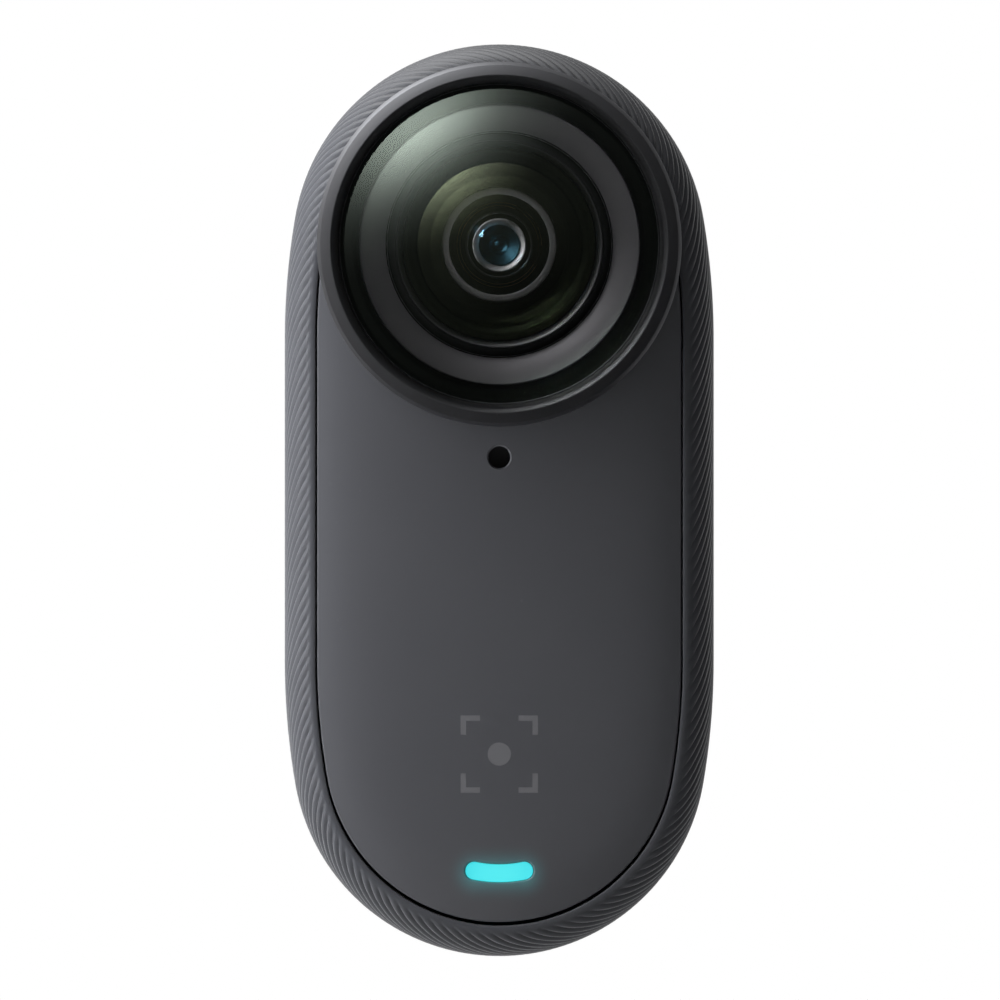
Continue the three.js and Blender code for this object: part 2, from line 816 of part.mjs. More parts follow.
function makeKeyBoard() {
  const low = -endCentre - light.arcRadius - 1.4;
  const high = micHeight + 1.5;
  const outline = slotOutline(high - low, 8);
  return slab(outline, keyBoardBack, keyBoardFront).translate(0, 0, (low + high) / 2);
}

function makeShutterSwitch() {
  const base = block(
    -1.6,
    1.6,
    keyBoardFront + fit,
    panelBack - 0.25,
    shutterHeight - 1.6,
    shutterHeight + 1.6,
  );
  return cut(base, disc(0.95, keyBoardFront + 0.2, body.depth, 0, shutterHeight));
}

const lightHeight = -endCentre - light.arcRadius;

add("sensor_flex", makeSensorFlex(), "gold");
add("main_board", makeMainBoard(), "boardGreen");
add(
  "processor_shield",
  block(-6, 6, mainBoardFront + fit, shieldFront, lensHeight - 6, lensHeight + 5.5),
  "steel",
);
add(
  "memory_chip",
  block(-8.6, -3.6, mainBoardFront + fit, mainBoardFront + 0.9, lensHeight - 12.6, lensHeight - 7.6),
  "chip",
);
add("battery", makeBattery(), "battery");
add("heat_spreader", makeHeatSpreader(), "steel");
add("key_board", makeKeyBoard(), "boardGreen");
add("shutter_switch", makeShutterSwitch(), "chip");
add("shutter_plunger", disc(0.8, panelBack - 0.55, panelBack - 0.05, 0, shutterHeight), "steel");
add(
  "status_led",
  block(-1.4, 1.4, keyBoardFront + fit, keyBoardFront + 0.65, lightHeight - 0.4, lightHeight + 0.4),
  "light",
);
add(
  "microphone",
  block(-1.4, 1.4, keyBoardFront + fit, keyBoardFront + 0.6, micHeight - 1, micHeight + 1),
  "steel",
);
add("microphone_mesh", disc(1.0, keyBoardFront + 0.65, keyBoardFront + 0.73, 0, micHeight), "steel");
add("speaker", makeSpeaker(), "black");
add(
  "speaker_mesh",
  block(-2.8, 2.8, magnetBack, magnetBack + 0.1, speakerHeight - 0.65, speakerHeight + 0.65),
  "steel",
);
add(
  "antenna",
  block(
    0.1 + shell.wall - halfWidth,
    0.35 + shell.wall - halfWidth,
    5.5,
    9.5,
    1.6 - straightHalf,
    straightHalf - 1.6,
  ),
  "gold",
);

for (const [end, name] of [[1, "upper"], [-1, "lower"]]) {
  const middle = (end * magnet.spacing) / 2;
  const low = middle - magnet.height / 2;
  const plate = block(
    -magnet.width / 2,
    magnet.width / 2,
    magnetBack,
    magnetBack + magnet.thickness,
    low,
    low + magnet.height,
  );
  add("magnet_" + name, plate, "magnet");
}

contactPlaces().forEach((x, i) => {
  const profile = [
    [0, contacts.recess],
    [contacts.radius, contacts.recess],
    [contacts.radius, 0.55],
    [contacts.stemRadius, 0.55],
    [contacts.stemRadius, rearCover.thickness],
    [0, rearCover.thickness],
  ];
  add("charging_contact_" + (i + 1), turned(profile, COARSE, x, contactHeight), "gold");
});
add(
  "contact_board",
  block(-5.8, 5.8, magnetBack, magnetBack + 0.5, contactHeight - 1.5, contactHeight + 1.5),
  "boardGreen",
);

// ---- Power button in the right side ----

const flangeOuter = halfWidth - shell.wall - 0.15;
const flangeInnerX = flangeOuter - button.flangeThickness;
const plungerTip = flangeInnerX - 0.03;
const switchFace = plungerTip - button.travel - 0.05;

function makePowerButton() {
  const cap = sideSlab(
    slotOutline(button.length, button.width),
    flangeInnerX + 0.1,
    halfWidth - button.recess,
    buttonDepth,
    buttonHeight,
  );
  const flange = slotOutline(button.length + 2 * button.flange, button.width + 2 * button.flange);
  return join(cap, sideSlab(flange, flangeInnerX, flangeOuter, buttonDepth, buttonHeight));
}

function makePowerSwitch() {
  const base = block(
    switchFace - 2,
    switchFace,
    buttonDepth - 1.5,
    buttonDepth + 1.5,
    buttonHeight - 1.8,
    buttonHeight + 1.8,
  );
  return cut(base, rod(0.8, switchFace - 0.7, halfWidth, buttonDepth, buttonHeight));
}

add("power_button", makePowerButton(), "trim");
add("power_plunger", rod(0.7, switchFace - 0.3, plungerTip, buttonDepth, buttonHeight), "steel");
add("power_switch", makePowerSwitch(), "chip");
add(
  "side_key_board",
  block(
    switchFace - 2.5,
    switchFace - 2.05,
    buttonDepth - 1.9,
    buttonDepth + 1.9,
    buttonHeight - 2.6,
    buttonHeight + 2.1,
  ),
  "boardGreen",
);

export default camera;
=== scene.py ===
from math import atan2, cos, pi, sin, sqrt

import bmesh
import bpy
from mathutils import Matrix, Vector


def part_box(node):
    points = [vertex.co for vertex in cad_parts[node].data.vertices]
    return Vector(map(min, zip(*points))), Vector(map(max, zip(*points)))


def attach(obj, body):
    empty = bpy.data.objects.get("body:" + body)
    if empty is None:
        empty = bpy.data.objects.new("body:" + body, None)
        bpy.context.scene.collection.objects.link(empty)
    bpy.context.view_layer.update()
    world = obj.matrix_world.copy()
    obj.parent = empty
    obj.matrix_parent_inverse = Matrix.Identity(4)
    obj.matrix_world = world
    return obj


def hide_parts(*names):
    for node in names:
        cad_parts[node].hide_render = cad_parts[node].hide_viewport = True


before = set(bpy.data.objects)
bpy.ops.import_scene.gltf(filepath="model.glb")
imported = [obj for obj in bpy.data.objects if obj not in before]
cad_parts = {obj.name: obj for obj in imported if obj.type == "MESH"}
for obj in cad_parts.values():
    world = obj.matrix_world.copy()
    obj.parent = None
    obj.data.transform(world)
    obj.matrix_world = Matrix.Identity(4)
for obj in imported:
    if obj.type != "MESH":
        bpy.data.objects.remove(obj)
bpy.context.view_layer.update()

mm = 0.001
scene = bpy.context.scene
scene.view_settings.view_transform = "Standard"

# the pill outline that the shell, the panel and the rear cover share

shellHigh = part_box("side_shell")[1]
ringLow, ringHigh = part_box("guard_ring")
lensX = 0.0
lensZ = (ringLow.z + ringHigh.z) / 2

outline = {
    "halfWidth": shellHigh.x,
    "halfHeight": shellHigh.z,
    "endEasing": 0.45 * mm,  # the round ends are this much narrower than the sides
    "easingLength": 5.25 * mm,
}
endRadius = outline["halfWidth"] - outline["endEasing"]
endCentre = outline["halfHeight"] - endRadius
straightHalf = endCentre - outline["easingLength"]
easingRadius = (outline["easingLength"] ** 2 / outline["endEasing"] + endRadius + outline["halfWidth"]) / 2
easingAngle = atan2(outline["easingLength"], easingRadius - outline["halfWidth"])
quarterLength = straightHalf + easingRadius * easingAngle + endRadius * (pi / 2 - easingAngle)


def edgeAt(travel):
    # the outline's point and outward direction after this much travel,
    # anticlockwise from the middle of the right side
    quarter, rest = divmod(travel, quarterLength)
    quarter = int(quarter) % 4
    if quarter in (1, 3):
        rest = quarterLength - rest
    if rest <= straightHalf:
        x, z, nx, nz = outline["halfWidth"], rest, 1.0, 0.0
    elif rest <= straightHalf + easingRadius * easingAngle:
        a = (rest - straightHalf) / easingRadius
        x, z = outline["halfWidth"] - easingRadius * (1 - cos(a)), straightHalf + easingRadius * sin(a)
        nx, nz = cos(a), sin(a)
    else:
        a = easingAngle + (rest - straightHalf - easingRadius * easingAngle) / endRadius
        x, z = endRadius * cos(a), endCentre + endRadius * sin(a)
        nx, nz = cos(a), sin(a)
    flipX = -1 if quarter in (1, 2) else 1
    flipZ = -1 if quarter in (2, 3) else 1
    return flipX * x, flipZ * z, flipX * nx, flipZ * nz


def smoothStep(low, high, value):
    t = min(1.0, max(0.0, (value - low) / (high - low)))
    return t * t * (3 - 2 * t)


def finishMesh(bm, name, sharpAngle=0.6):
    mesh = bpy.data.meshes.new(name)
    bmesh.ops.recalc_face_normals(bm, faces=bm.faces)
    bm.to_mesh(mesh)
    bm.free()
    mesh.shade_smooth()
    mesh.set_sharp_from_angle(angle=sharpAngle)
    piece = bpy.data.objects.new(name, mesh)
    scene.collection.objects.link(piece)
    return piece


def sweepRings(bm, around, places, joinEnds):
    # a circle of points, extruded once for each place function in turn
    ring = bmesh.ops.create_circle(bm, cap_ends=False, radius=mm, segments=around)["verts"]
    number = {v: i for i, v in enumerate(ring)}
    for v, i in number.items():
        v.co = places[0](i / around)
    firstEdges = edges = list(bm.edges)
    for place in places[1:]:
        made = bmesh.ops.extrude_edge_only(bm, edges=edges)["geom"]
        fresh = {g for g in made if isinstance(g, bmesh.types.BMVert)}
        follow = {}
        for v in fresh:
            for e in v.link_edges:
                other = e.other_vert(v)
                if other in number:
                    follow[v] = number[other]
                    break
        for v, i in follow.items():
            v.co = place(i / around)
        edges = [
            g for g in made
            if isinstance(g, bmesh.types.BMEdge) and g.verts[0] in fresh and g.verts[1] in fresh
        ]
        number = follow
    if joinEnds:
        bmesh.ops.bridge_loops(bm, edges=firstEdges + edges)
    return firstEdges, edges


def softenEdges(bm, width, segments=2, fromAngle=0.5):
    edges = [e for e in bm.edges if len(e.link_faces) == 2 and e.calc_face_angle(0) > fromAngle]
    bmesh.ops.bevel(
        bm, geom=edges, offset=width, segments=segments, profile=0.5, affect="EDGES", material=-1,
        clamp_overlap=True,
    )


def turned(name, profile, steps=144, soften=0.0, centre=(lensX, lensZ), sharpAngle=0.6):
    # profile holds (radius, depth) in millimetres, turned about an axis that runs front to back
    bm = bmesh.new()
    points = [bm.verts.new((centre[0] + r * mm, -d * mm, centre[1])) for r, d in profile]
    lines = [bm.edges.new(pair) for pair in zip(points, points[1:])]
    if profile[0][0] > 0 or profile[-1][0] > 0:
        lines.append(bm.edges.new((points[-1], points[0])))
    bmesh.ops.spin(
        bm, geom=points + lines, cent=(centre[0], 0, centre[1]), axis=(0, 1, 0), angle=2 * pi, steps=steps,
        use_merge=True,
    )
    bmesh.ops.remove_doubles(bm, verts=bm.verts, dist=0.0005 * mm)
    bmesh.ops.recalc_face_normals(bm, faces=bm.faces)
    if soften:
        softenEdges(bm, soften * mm)
    return finishMesh(bm, name, sharpAngle)


def dome(radius, edge, apex, count):
    rise = apex - edge
    sphere = (radius ** 2 + rise ** 2) / (2 * rise)
    opening = atan2(radius, sphere - rise)
    return [
        (sphere * sin(opening * (1 - i / count)), apex - sphere * (1 - cos(opening * (1 - i / count))))
        for i in range(count + 1)
    ]


def carve(piece, cutters, sharpAngle=0.6):
    for cutter in cutters:
        tool = piece.modifiers.new("cut", "BOOLEAN")
        tool.operation = "DIFFERENCE"
        tool.solver = "EXACT"
        tool.object = cutter
    shaped = bpy.data.meshes.new_from_object(piece.evaluated_get(bpy.context.evaluated_depsgraph_get()))
    piece.modifiers.clear()
    piece.data = shaped
    shaped.shade_smooth()
    shaped.set_sharp_from_angle(angle=sharpAngle)
    for cutter in cutters:
        bpy.data.objects.remove(cutter)


def slotCutter(name, shape, turns, centre):
    # a slot with round ends and a chamfered mouth, made facing the front, then turned and moved into place
    halfLength, halfWidth = shape["halfLength"] * mm, shape["halfWidth"] * mm
    flare, deep = shape["flare"] * mm, shape["depth"] * mm
    clear = 0.3 * mm  # how far the cutter stands out of the mouth

    def place(drop, grow):
        def at(share):
            a = 2 * pi * share
            reach = halfLength - halfWidth
            side = reach if cos(a) >= 0 else -reach
            return Vector((side + (halfWidth + grow) * cos(a), -drop, (halfWidth + grow) * sin(a)))
        return at

    bm = bmesh.new()
    steps = [place(clear, flare + clear), place(0.0, flare), place(-flare, 0.0), place(-deep, 0.0)]
    first, last = sweepRings(bm, 48, steps, False)
    for loop in (first, last):
        bmesh.ops.edgeloop_fill(bm, edges=loop)
    for angle, axis in turns:
        bmesh.ops.rotate(bm, verts=bm.verts, cent=(0, 0, 0), matrix=Matrix.Rotation(angle, 3, axis))
    bmesh.ops.translate(bm, verts=bm.verts, vec=centre)
    return finishMesh(bm, name)


def boxCutter(name, size, centre, rounding=0.0):
    bm = bmesh.new()
    bmesh.ops.create_cube(bm, size=1.0)
    bmesh.ops.scale(bm, verts=bm.verts, vec=size)
    if rounding:
        softenEdges(bm, rounding, 3)
    bmesh.ops.translate(bm, verts=bm.verts, vec=centre)
    return finishMesh(bm, name)


print("outline ready")

# shader groups shared by the finishes


def newGroup(name, inputs, outputs):
    group = bpy.data.node_groups.new(name, "ShaderNodeTree")
    for label, kind, value in inputs:
        socket = group.interface.new_socket(name=label, in_out="INPUT", socket_type=kind)
        socket.default_value = value
    for label, kind in outputs:
        group.interface.new_socket(name=label, in_out="OUTPUT", socket_type=kind)
    return group, group.nodes.new("NodeGroupInput"), group.nodes.new("NodeGroupOutput")


def mathNode(tree, operation, a, b=None, c=None, clamp=False):
    node = tree.nodes.new("ShaderNodeMath")
    node.operation = operation
    node.use_clamp = clamp
    for socket, value in zip(node.inputs, (a, b, c)):
        if value is None:
            continue
        if isinstance(value, (int, float)):
            socket.default_value = value
        else:
            tree.links.new(value, socket)
    return node.outputs[0]


def distanceNode(tree, a, b):
    squares = mathNode(tree, "ADD", mathNode(tree, "MULTIPLY", a, a), mathNode(tree, "MULTIPLY", b, b))
    return mathNode(tree, "SQRT", squares)


def splitVector(tree, vector):
    split = tree.nodes.new("ShaderNodeSeparateXYZ")
    tree.links.new(vector, split.inputs[0])
    return split.outputs


def noiseNode(tree, vector, scale, detail=3.0, roughness=0.55):
    node = tree.nodes.new("ShaderNodeTexNoise")
    node.inputs["Detail"].default_value = detail
    node.inputs["Roughness"].default_value = roughness
    tree.links.new(vector, node.inputs["Vector"])
    if isinstance(scale, (int, float)):
        node.inputs["Scale"].default_value = scale
    else:
        tree.links.new(scale, node.inputs["Scale"])
    return node.outputs["Fac"]


def makeGrain():
    # moulded grain: a fine pebble for bump, and a slow cloud for small changes of tone
    group, start, end = newGroup(
        "mouldedGrain",
        [("Vector", "NodeSocketVector", (0, 0, 0)), ("Scale", "NodeSocketFloat", 9000.0)],
        [("Height", "NodeSocketFloat"), ("Cloud", "NodeSocketFloat")],
    )
    fine = noiseNode(group, start.outputs["Vector"], start.outputs["Scale"], 4.0, 0.65)
    cloud = noiseNode(group, start.outputs["Vector"], 160.0, 3.0)
    group.links.new(fine, end.inputs["Height"])
    group.links.new(cloud, end.inputs["Cloud"])
    return group


def makeWear():
    # handling marks: soft smudges broken up by a finer noise, and a few dust specks
    group, start, end = newGroup(
        "handlingMarks",
        [("Vector", "NodeSocketVector", (0, 0, 0)), ("Smudge Scale", "NodeSocketFloat", 90.0)],
        [("Smudge", "NodeSocketFloat"), ("Dust", "NodeSocketFloat")],
    )
    broad = noiseNode(group, start.outputs["Vector"], start.outputs["Smudge Scale"], 2.0)
    broken = noiseNode(group, start.outputs["Vector"], 700.0, 5.0)
    smudge = mathNode(group, "MULTIPLY", mathNode(group, "SUBTRACT", broad, 0.42, clamp=True), broken)
    speck = noiseNode(group, start.outputs["Vector"], 2600.0, 0.0)
    speck = mathNode(group, "SUBTRACT", speck, 0.84, clamp=True)
    dust = mathNode(group, "MULTIPLY", speck, 4.0, clamp=True)
    group.links.new(smudge, end.inputs["Smudge"])
    group.links.new(dust, end.inputs["Dust"])
    return group


grainGroup = makeGrain()
wearGroup = makeWear()


def objectVector(tree):
    return tree.nodes.new("ShaderNodeTexCoord").outputs["Object"]


def newMaterial(name):
    material = bpy.data.materials.new(name)
    material.use_nodes = True
    tree = material.node_tree
    return material, tree, tree.nodes["Principled BSDF"]


def mixColour(tree, share, first, second):
    node = tree.nodes.new("ShaderNodeMix")
    node.data_type = "RGBA"
    for socket, value in ((node.inputs[0], share), (node.inputs[6], first), (node.inputs[7], second)):
        if isinstance(value, (tuple, list)):
            socket.default_value = (*value[:3], 1.0)
        elif isinstance(value, (int, float)):
            socket.default_value = value
        else:
            tree.links.new(value, socket)
    return node.outputs[2]


def addGroup(tree, group, vector, values):
    # one of the shared groups, placed in a material with its own values
    node = tree.nodes.new("ShaderNodeGroup")
    node.node_tree = group
    tree.links.new(vector, node.inputs["Vector"])
    for label, value in values.items():
        node.inputs[label].default_value = value
    return node


# what a grained finish has unless its own look says otherwise
commonLook = {
    "grain": 9000.0,
    "smudge": -0.25,
    "bump": 0.15,
    "bumpDepth": 0.02,
    "metallic": 0.0,
    "specular": 0.5,
    "coat": 0.0,
    "coatRoughness": 0.2,
    "sheen": 0.0,
    "sheenRoughness": 0.4,
    "dust": (0.3, 0.3, 0.3),
    "dustShare": 0.1,
}


def grainFinish(name, ownLook):
    # a moulded, printed or plated surface: two close tones, smudged roughness and a fine bump
    look = {**commonLook, **ownLook}
    material, tree, shader = newMaterial(name)
    vector = objectVector(tree)
    grain = addGroup(tree, grainGroup, vector, {"Scale": look["grain"]})
    wear = addGroup(tree, wearGroup, vector, {})
    tone = mixColour(tree, grain.outputs["Cloud"], look["dark"], look["light"])
    dusty = mathNode(tree, "MULTIPLY", wear.outputs["Dust"], look["dustShare"])
    tone = mixColour(tree, dusty, tone, look["dust"])
    tree.links.new(tone, shader.inputs["Base Color"])
    rough = mathNode(tree, "MULTIPLY_ADD", wear.outputs["Smudge"], look["smudge"], look["roughness"])
    tree.links.new(rough, shader.inputs["Roughness"])
    bump = tree.nodes.new("ShaderNodeBump")
    bump.inputs["Strength"].default_value = look["bump"]
    bump.inputs["Distance"].default_value = look["bumpDepth"] * mm
    tree.links.new(grain.outputs["Height"], bump.inputs["Height"])
    tree.links.new(bump.outputs["Normal"], shader.inputs["Normal"])
    for label, key in (
        ("Metallic", "metallic"), ("Specular IOR Level", "specular"), ("Coat Weight", "coat"),
        ("Coat Roughness", "coatRoughness"), ("Sheen Weight", "sheen"), ("Sheen Roughness", "sheenRoughness"),
    ):
        shader.inputs[label].default_value = look[key]
    return material, tree, shader, vector, tone


def glassFinish(name, look):
    # coated glass: a clear skin that mirrors more towards its edge, in the coating's tint
    material, tree, shader = newMaterial(name)
    cloud = noiseNode(tree, objectVector(tree), 60.0, 2.0)
    tree.links.new(mixColour(tree, cloud, look["tint"], look["tintTwo"]), shader.inputs["Base Color"])
    shader.inputs["Metallic"].default_value = 1.0
    shader.inputs["Roughness"].default_value = look["roughness"]
    fresnel = tree.nodes.new("ShaderNodeFresnel")
    # the rear of a face must mirror no more than its front, so its index is turned over
    backfacing = tree.nodes.new("ShaderNodeNewGeometry").outputs["Backfacing"]
    side = mathNode(tree, "MULTIPLY_ADD", backfacing, -2.0, 1.0)
    tree.links.new(mathNode(tree, "POWER", look["ior"], side), fresnel.inputs["IOR"])
    skin = mathNode(tree, "MULTIPLY", fresnel.outputs[0], look["mirror"], clamp=True)
    tree.links.new(skin, shader.inputs["Alpha"])
    return material


grainLooks = {
    "softTouchShell": {
        "dark": (0.022, 0.0232, 0.027), "light": (0.028, 0.0293, 0.034), "roughness": 0.46,
        "bump": 0.25, "bumpDepth": 0.03, "specular": 0.45, "sheen": 0.14, "smudge": -0.2,
    },
    "coverPlastic": {
        "dark": (0.05, 0.051, 0.056), "light": (0.058, 0.059, 0.065), "roughness": 0.44, "bump": 0.1,
    },
    "blackRubber": {
        "dark": (0.008, 0.008, 0.009), "light": (0.014, 0.014, 0.015), "roughness": 0.75, "bump": 0.3,
    },
    "blackPlastic": {
        "dark": (0.006, 0.006, 0.007), "light": (0.01, 0.01, 0.011), "roughness": 0.5, "specular": 0.3,
    },
    "lensBlack": {
        "dark": (0.001, 0.001, 0.0012), "light": (0.0018, 0.0018, 0.002), "roughness": 0.6,
        "specular": 0.05, "bump": 0.0,
    },
    "satinSteel": {
        "dark": (0.36, 0.37, 0.39), "light": (0.46, 0.47, 0.49), "roughness": 0.34, "metallic": 1.0,
        "grain": 5000.0,
    },
    "guardMetal": {
        "dark": (0.14, 0.142, 0.152), "light": (0.18, 0.182, 0.192), "roughness": 0.38, "metallic": 0.95,
        "bump": 0.5, "grain": 12000.0,
    },
    "faceGrey": {
        "dark": (0.24, 0.235, 0.25), "light": (0.28, 0.275, 0.29), "roughness": 0.33, "metallic": 0.85,
        "bump": 0.05, "smudge": -0.05,
    },
    "retainerMetal": {
        "dark": (0.24, 0.24, 0.255), "light": (0.28, 0.28, 0.295), "roughness": 0.34, "metallic": 1.0,
        "bump": 0.05,
    },
    "cellGrey": {
        "dark": (0.62, 0.62, 0.63), "light": (0.7, 0.7, 0.71), "roughness": 0.5, "metallic": 0.8,
        "bump": 0.1,
    },
    "coreBlue": {
        "dark": (0.08, 0.26, 0.38), "light": (0.14, 0.38, 0.5), "roughness": 0.24, "metallic": 1.0,
        "bump": 0.0,
    },
    "chipEpoxy": {
        "dark": (0.011, 0.011, 0.013), "light": (0.018, 0.018, 0.02), "roughness": 0.5, "grain": 4000.0,
    },
    "circuitBoard": {
        "dark": (0.006, 0.05, 0.028), "light": (0.012, 0.085, 0.05), "roughness": 0.35, "coat": 0.4,
        "grain": 2500.0,
    },
    "flexFilm": {
        "dark": (0.4, 0.2, 0.04), "light": (0.52, 0.28, 0.06), "roughness": 0.35, "coat": 0.3,
    },
    "batteryWrap": {
        "dark": (0.045, 0.05, 0.062), "light": (0.06, 0.065, 0.08), "roughness": 0.4, "coat": 0.2,
    },
    "goldPlate": {
        "dark": (0.62, 0.4, 0.11), "light": (0.76, 0.52, 0.17), "roughness": 0.22, "metallic": 1.0,
        "bump": 0.08,
    },
    "trimBrass": {
        "dark": (0.2, 0.12, 0.05), "light": (0.3, 0.19, 0.09), "roughness": 0.3, "metallic": 1.0,
    },
    "magnetNickel": {
        "dark": (0.5, 0.5, 0.51), "light": (0.6, 0.6, 0.61), "roughness": 0.18, "metallic": 1.0,
    },
    "buttonPlastic": {
        "dark": (0.03, 0.031, 0.035), "light": (0.038, 0.039, 0.044), "roughness": 0.4, "bump": 0.12,
    },
}
glassLooks = {
    "guardGlass": {
        "tint": (0.26, 0.315, 0.268), "tintTwo": (0.275, 0.315, 0.28), "ior": 1.5, "mirror": 2.6,
        "roughness": 0.02,
    },
    "frontGlass": {
        "tint": (0.36, 0.42, 0.24), "tintTwo": (0.39, 0.44, 0.29), "ior": 1.4, "mirror": 4.6,
        "roughness": 0.05,
    },
    "innerGlass": {
        "tint": (0.3, 0.62, 0.8), "tintTwo": (0.25, 0.5, 0.7), "ior": 1.6, "mirror": 1.6,
        "roughness": 0.06,
    },
}
finishes = {name: grainFinish(name, look)[0] for name, look in grainLooks.items()}
for name, look in glassLooks.items():
    finishes[name] = glassFinish(name, look)

# the panel's plastic, with its mark and a painted glow where the light's spill would fall, and the light
# itself

markLook = {
    "height": -15.1 * mm,
    "size": 2.3 * mm,
    "ink": (0.06, 0.0605, 0.065),
    "frameInside": 0.86,  # the frame's inner edge, as a share of the mark's size
    "armEnd": 0.5,
    "dot": 0.3,
}
paintedGlowLook = {
    "height": -22.2 * mm,
    "reach": 1.9 * mm,
    "halfLength": 1.4 * mm,
    "falloff": 2.6,
    "colour": (0.02, 0.2, 0.21),
}
panelLook = {
    "dark": (0.031, 0.0318, 0.036), "light": (0.035, 0.0358, 0.04), "roughness": 0.4, "bump": 0.08,
    "smudge": -0.12,
}
lightLook = {
    "halfLength": 2.1 * mm,
    "middle": (0.07, 0.78, 0.82),
    "ends": (0.045, 0.7, 0.78),
    "milk": (0.06, 0.74, 0.8),
    "milkShare": 0.3,
    "strength": 0.95,
    "roughness": 0.35,
}


def makeMark():
    # four viewfinder corners round a dot, as a mask in the plane of the panel
    group, start, end = newGroup(
        "viewfinderMark",
        [
            ("Vector", "NodeSocketVector", (0, 0, 0)),
            ("Height", "NodeSocketFloat", 0.0),
            ("Size", "NodeSocketFloat", 1.0),
        ],
        [("Mask", "NodeSocketFloat")],
    )
    split = splitVector(group, start.outputs["Vector"])
    size = start.outputs["Size"]
    across = mathNode(group, "DIVIDE", mathNode(group, "ABSOLUTE", split["X"]), size)
    up = mathNode(group, "ABSOLUTE", mathNode(group, "SUBTRACT", split["Z"], start.outputs["Height"]))
    up = mathNode(group, "DIVIDE", up, size)
    most = mathNode(group, "MAXIMUM", across, up)
    least = mathNode(group, "MINIMUM", across, up)
    inside = mathNode(group, "LESS_THAN", most, 1.0)
    outside = mathNode(group, "GREATER_THAN", most, markLook["frameInside"])
    inFrame = mathNode(group, "MULTIPLY", inside, outside)
    inArm = mathNode(group, "GREATER_THAN", least, markLook["armEnd"])
    corners = mathNode(group, "MULTIPLY", inFrame, inArm)
    dot = mathNode(group, "LESS_THAN", distanceNode(group, across, up), markLook["dot"])
    group.links.new(mathNode(group, "MAXIMUM", corners, dot), end.inputs["Mask"])
    return group


def makePaintedGlow():
    # painted light: how near a point is to the light's bar, fading out over a short way, for the glow painted
    # onto the panel
    group, start, end = newGroup(
        "paintedLightGlow",
        [
            ("Vector", "NodeSocketVector", (0, 0, 0)),
            ("Height", "NodeSocketFloat", 0.0),
            ("Reach", "NodeSocketFloat", 1.0),
        ],
        [("Mask", "NodeSocketFloat")],
    )
    split = splitVector(group, start.outputs["Vector"])
    beyond = mathNode(group, "SUBTRACT", mathNode(group, "ABSOLUTE", split["X"]), paintedGlowLook["halfLength"])
    beyond = mathNode(group, "MAXIMUM", beyond, 0.0)
    up = mathNode(group, "SUBTRACT", split["Z"], start.outputs["Height"])
    away = mathNode(group, "DIVIDE", distanceNode(group, beyond, up), start.outputs["Reach"])
    near = mathNode(group, "SUBTRACT", 1.0, away, clamp=True)
    group.links.new(mathNode(group, "POWER", near, paintedGlowLook["falloff"]), end.inputs["Mask"])
    return group


def makePanelFinish():
    material, tree, shader, vector, tone = grainFinish("panelPlastic", panelLook)
    mark = addGroup(tree, makeMark(), vector, {"Height": markLook["height"], "Size": markLook["size"]})
    paintedGlow = addGroup(tree, makePaintedGlow(), vector, {"Height": paintedGlowLook["height"], "Reach": paintedGlowLook["reach"]})
    printed = mixColour(tree, mark.outputs["Mask"], tone, markLook["ink"])
    tree.links.new(printed, shader.inputs["Base Color"])
    # painted light: the panel itself emits this teal glow round the light's bar, in place of light cast by the
    # light
    lit = mixColour(tree, paintedGlow.outputs["Mask"], (0, 0, 0), paintedGlowLook["colour"])
    tree.links.new(lit, shader.inputs["Emission Color"])
    shader.inputs["Emission Strength"].default_value = 1.0
    return material


def makeLightFinish():
    # a milky guide, brightest along its middle
    material, tree, shader = newMaterial("lightGuide")
    vector = objectVector(tree)
    fromMiddle = mathNode(tree, "ABSOLUTE", splitVector(tree, vector)["X"])
    side = mathNode(tree, "MINIMUM", mathNode(tree, "DIVIDE", fromMiddle, lightLook["halfLength"]), 1.0)
    fall = mathNode(tree, "POWER", side, 2.0)
    cloud = noiseNode(tree, vector, 900.0, 2.0)
    glowing = mixColour(tree, fall, lightLook["middle"], lightLook["ends"])
    milky = mathNode(tree, "MULTIPLY", cloud, lightLook["milkShare"])
    tree.links.new(mixColour(tree, milky, glowing, lightLook["milk"]), shader.inputs["Emission Color"])
    unlit = mixColour(tree, cloud, (0.01, 0.05, 0.055), (0.015, 0.07, 0.075))
    tree.links.new(unlit, shader.inputs["Base Color"])
    shader.inputs["Emission Strength"].default_value = lightLook["strength"]
    shader.inputs["Roughness"].default_value = lightLook["roughness"]
    return material


finishes["panelPlastic"] = makePanelFinish()
finishes["lightGuide"] = makeLightFinish()
print("finishes ready:", len(finishes))


def dress(piece, finish, body, *nodes, slotName):
    piece.data.materials.clear()
    piece.data.materials.append(finishes[finish])
    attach(piece, body)
    if nodes:
        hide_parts(*nodes)


# side shell: a band with slanting ribs, a clip notch in each side and the button's hole

band = {
    "rimFront": 15.4,
    "rimBack": 0.35,
    "edgeWidth": 1.65,
    "edgeDepth": 4.0,
    "edgeSteps": 16,
    "sideSteps": 14,
    "opening": 1.87,
    "wall": 1.3,
    "ledgeBack": 1.7,
    "ledgeFront": 2.6,
    "ledgeWidth": 0.97,
    "lipBack": 11.45,
    "ribs": 163,
    "ribShape": (0.0, 0.45, 0.88, 1.0, 0.88, 0.45),  # across one rib, as shares of its height
    "ribHeight": 0.12,
    "slant": 1.3,  # how far a rib runs along the outline for each step back over the side
    "plainLip": 0.3,
    "fadeIn": 0.35,
    "buttonHole": {"halfLength": 3.3, "halfWidth": 1.3, "flare": 0.08, "depth": 3.0},
    "buttonClear": {"across": 2.0, "along": 4.1, "from": 0.95, "to": 1.2},  # the ribs fade out round it
    "notch": {"length": 5.0, "width": 1.8, "depth": 0.9, "depthCentre": 4.1, "height": -7.0, "rounding": 0.15},
    "notchClear": {"across": 1.4, "along": 3.1, "from": 0.9, "to": 1.15},
}
buttonLow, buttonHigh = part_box("power_button")
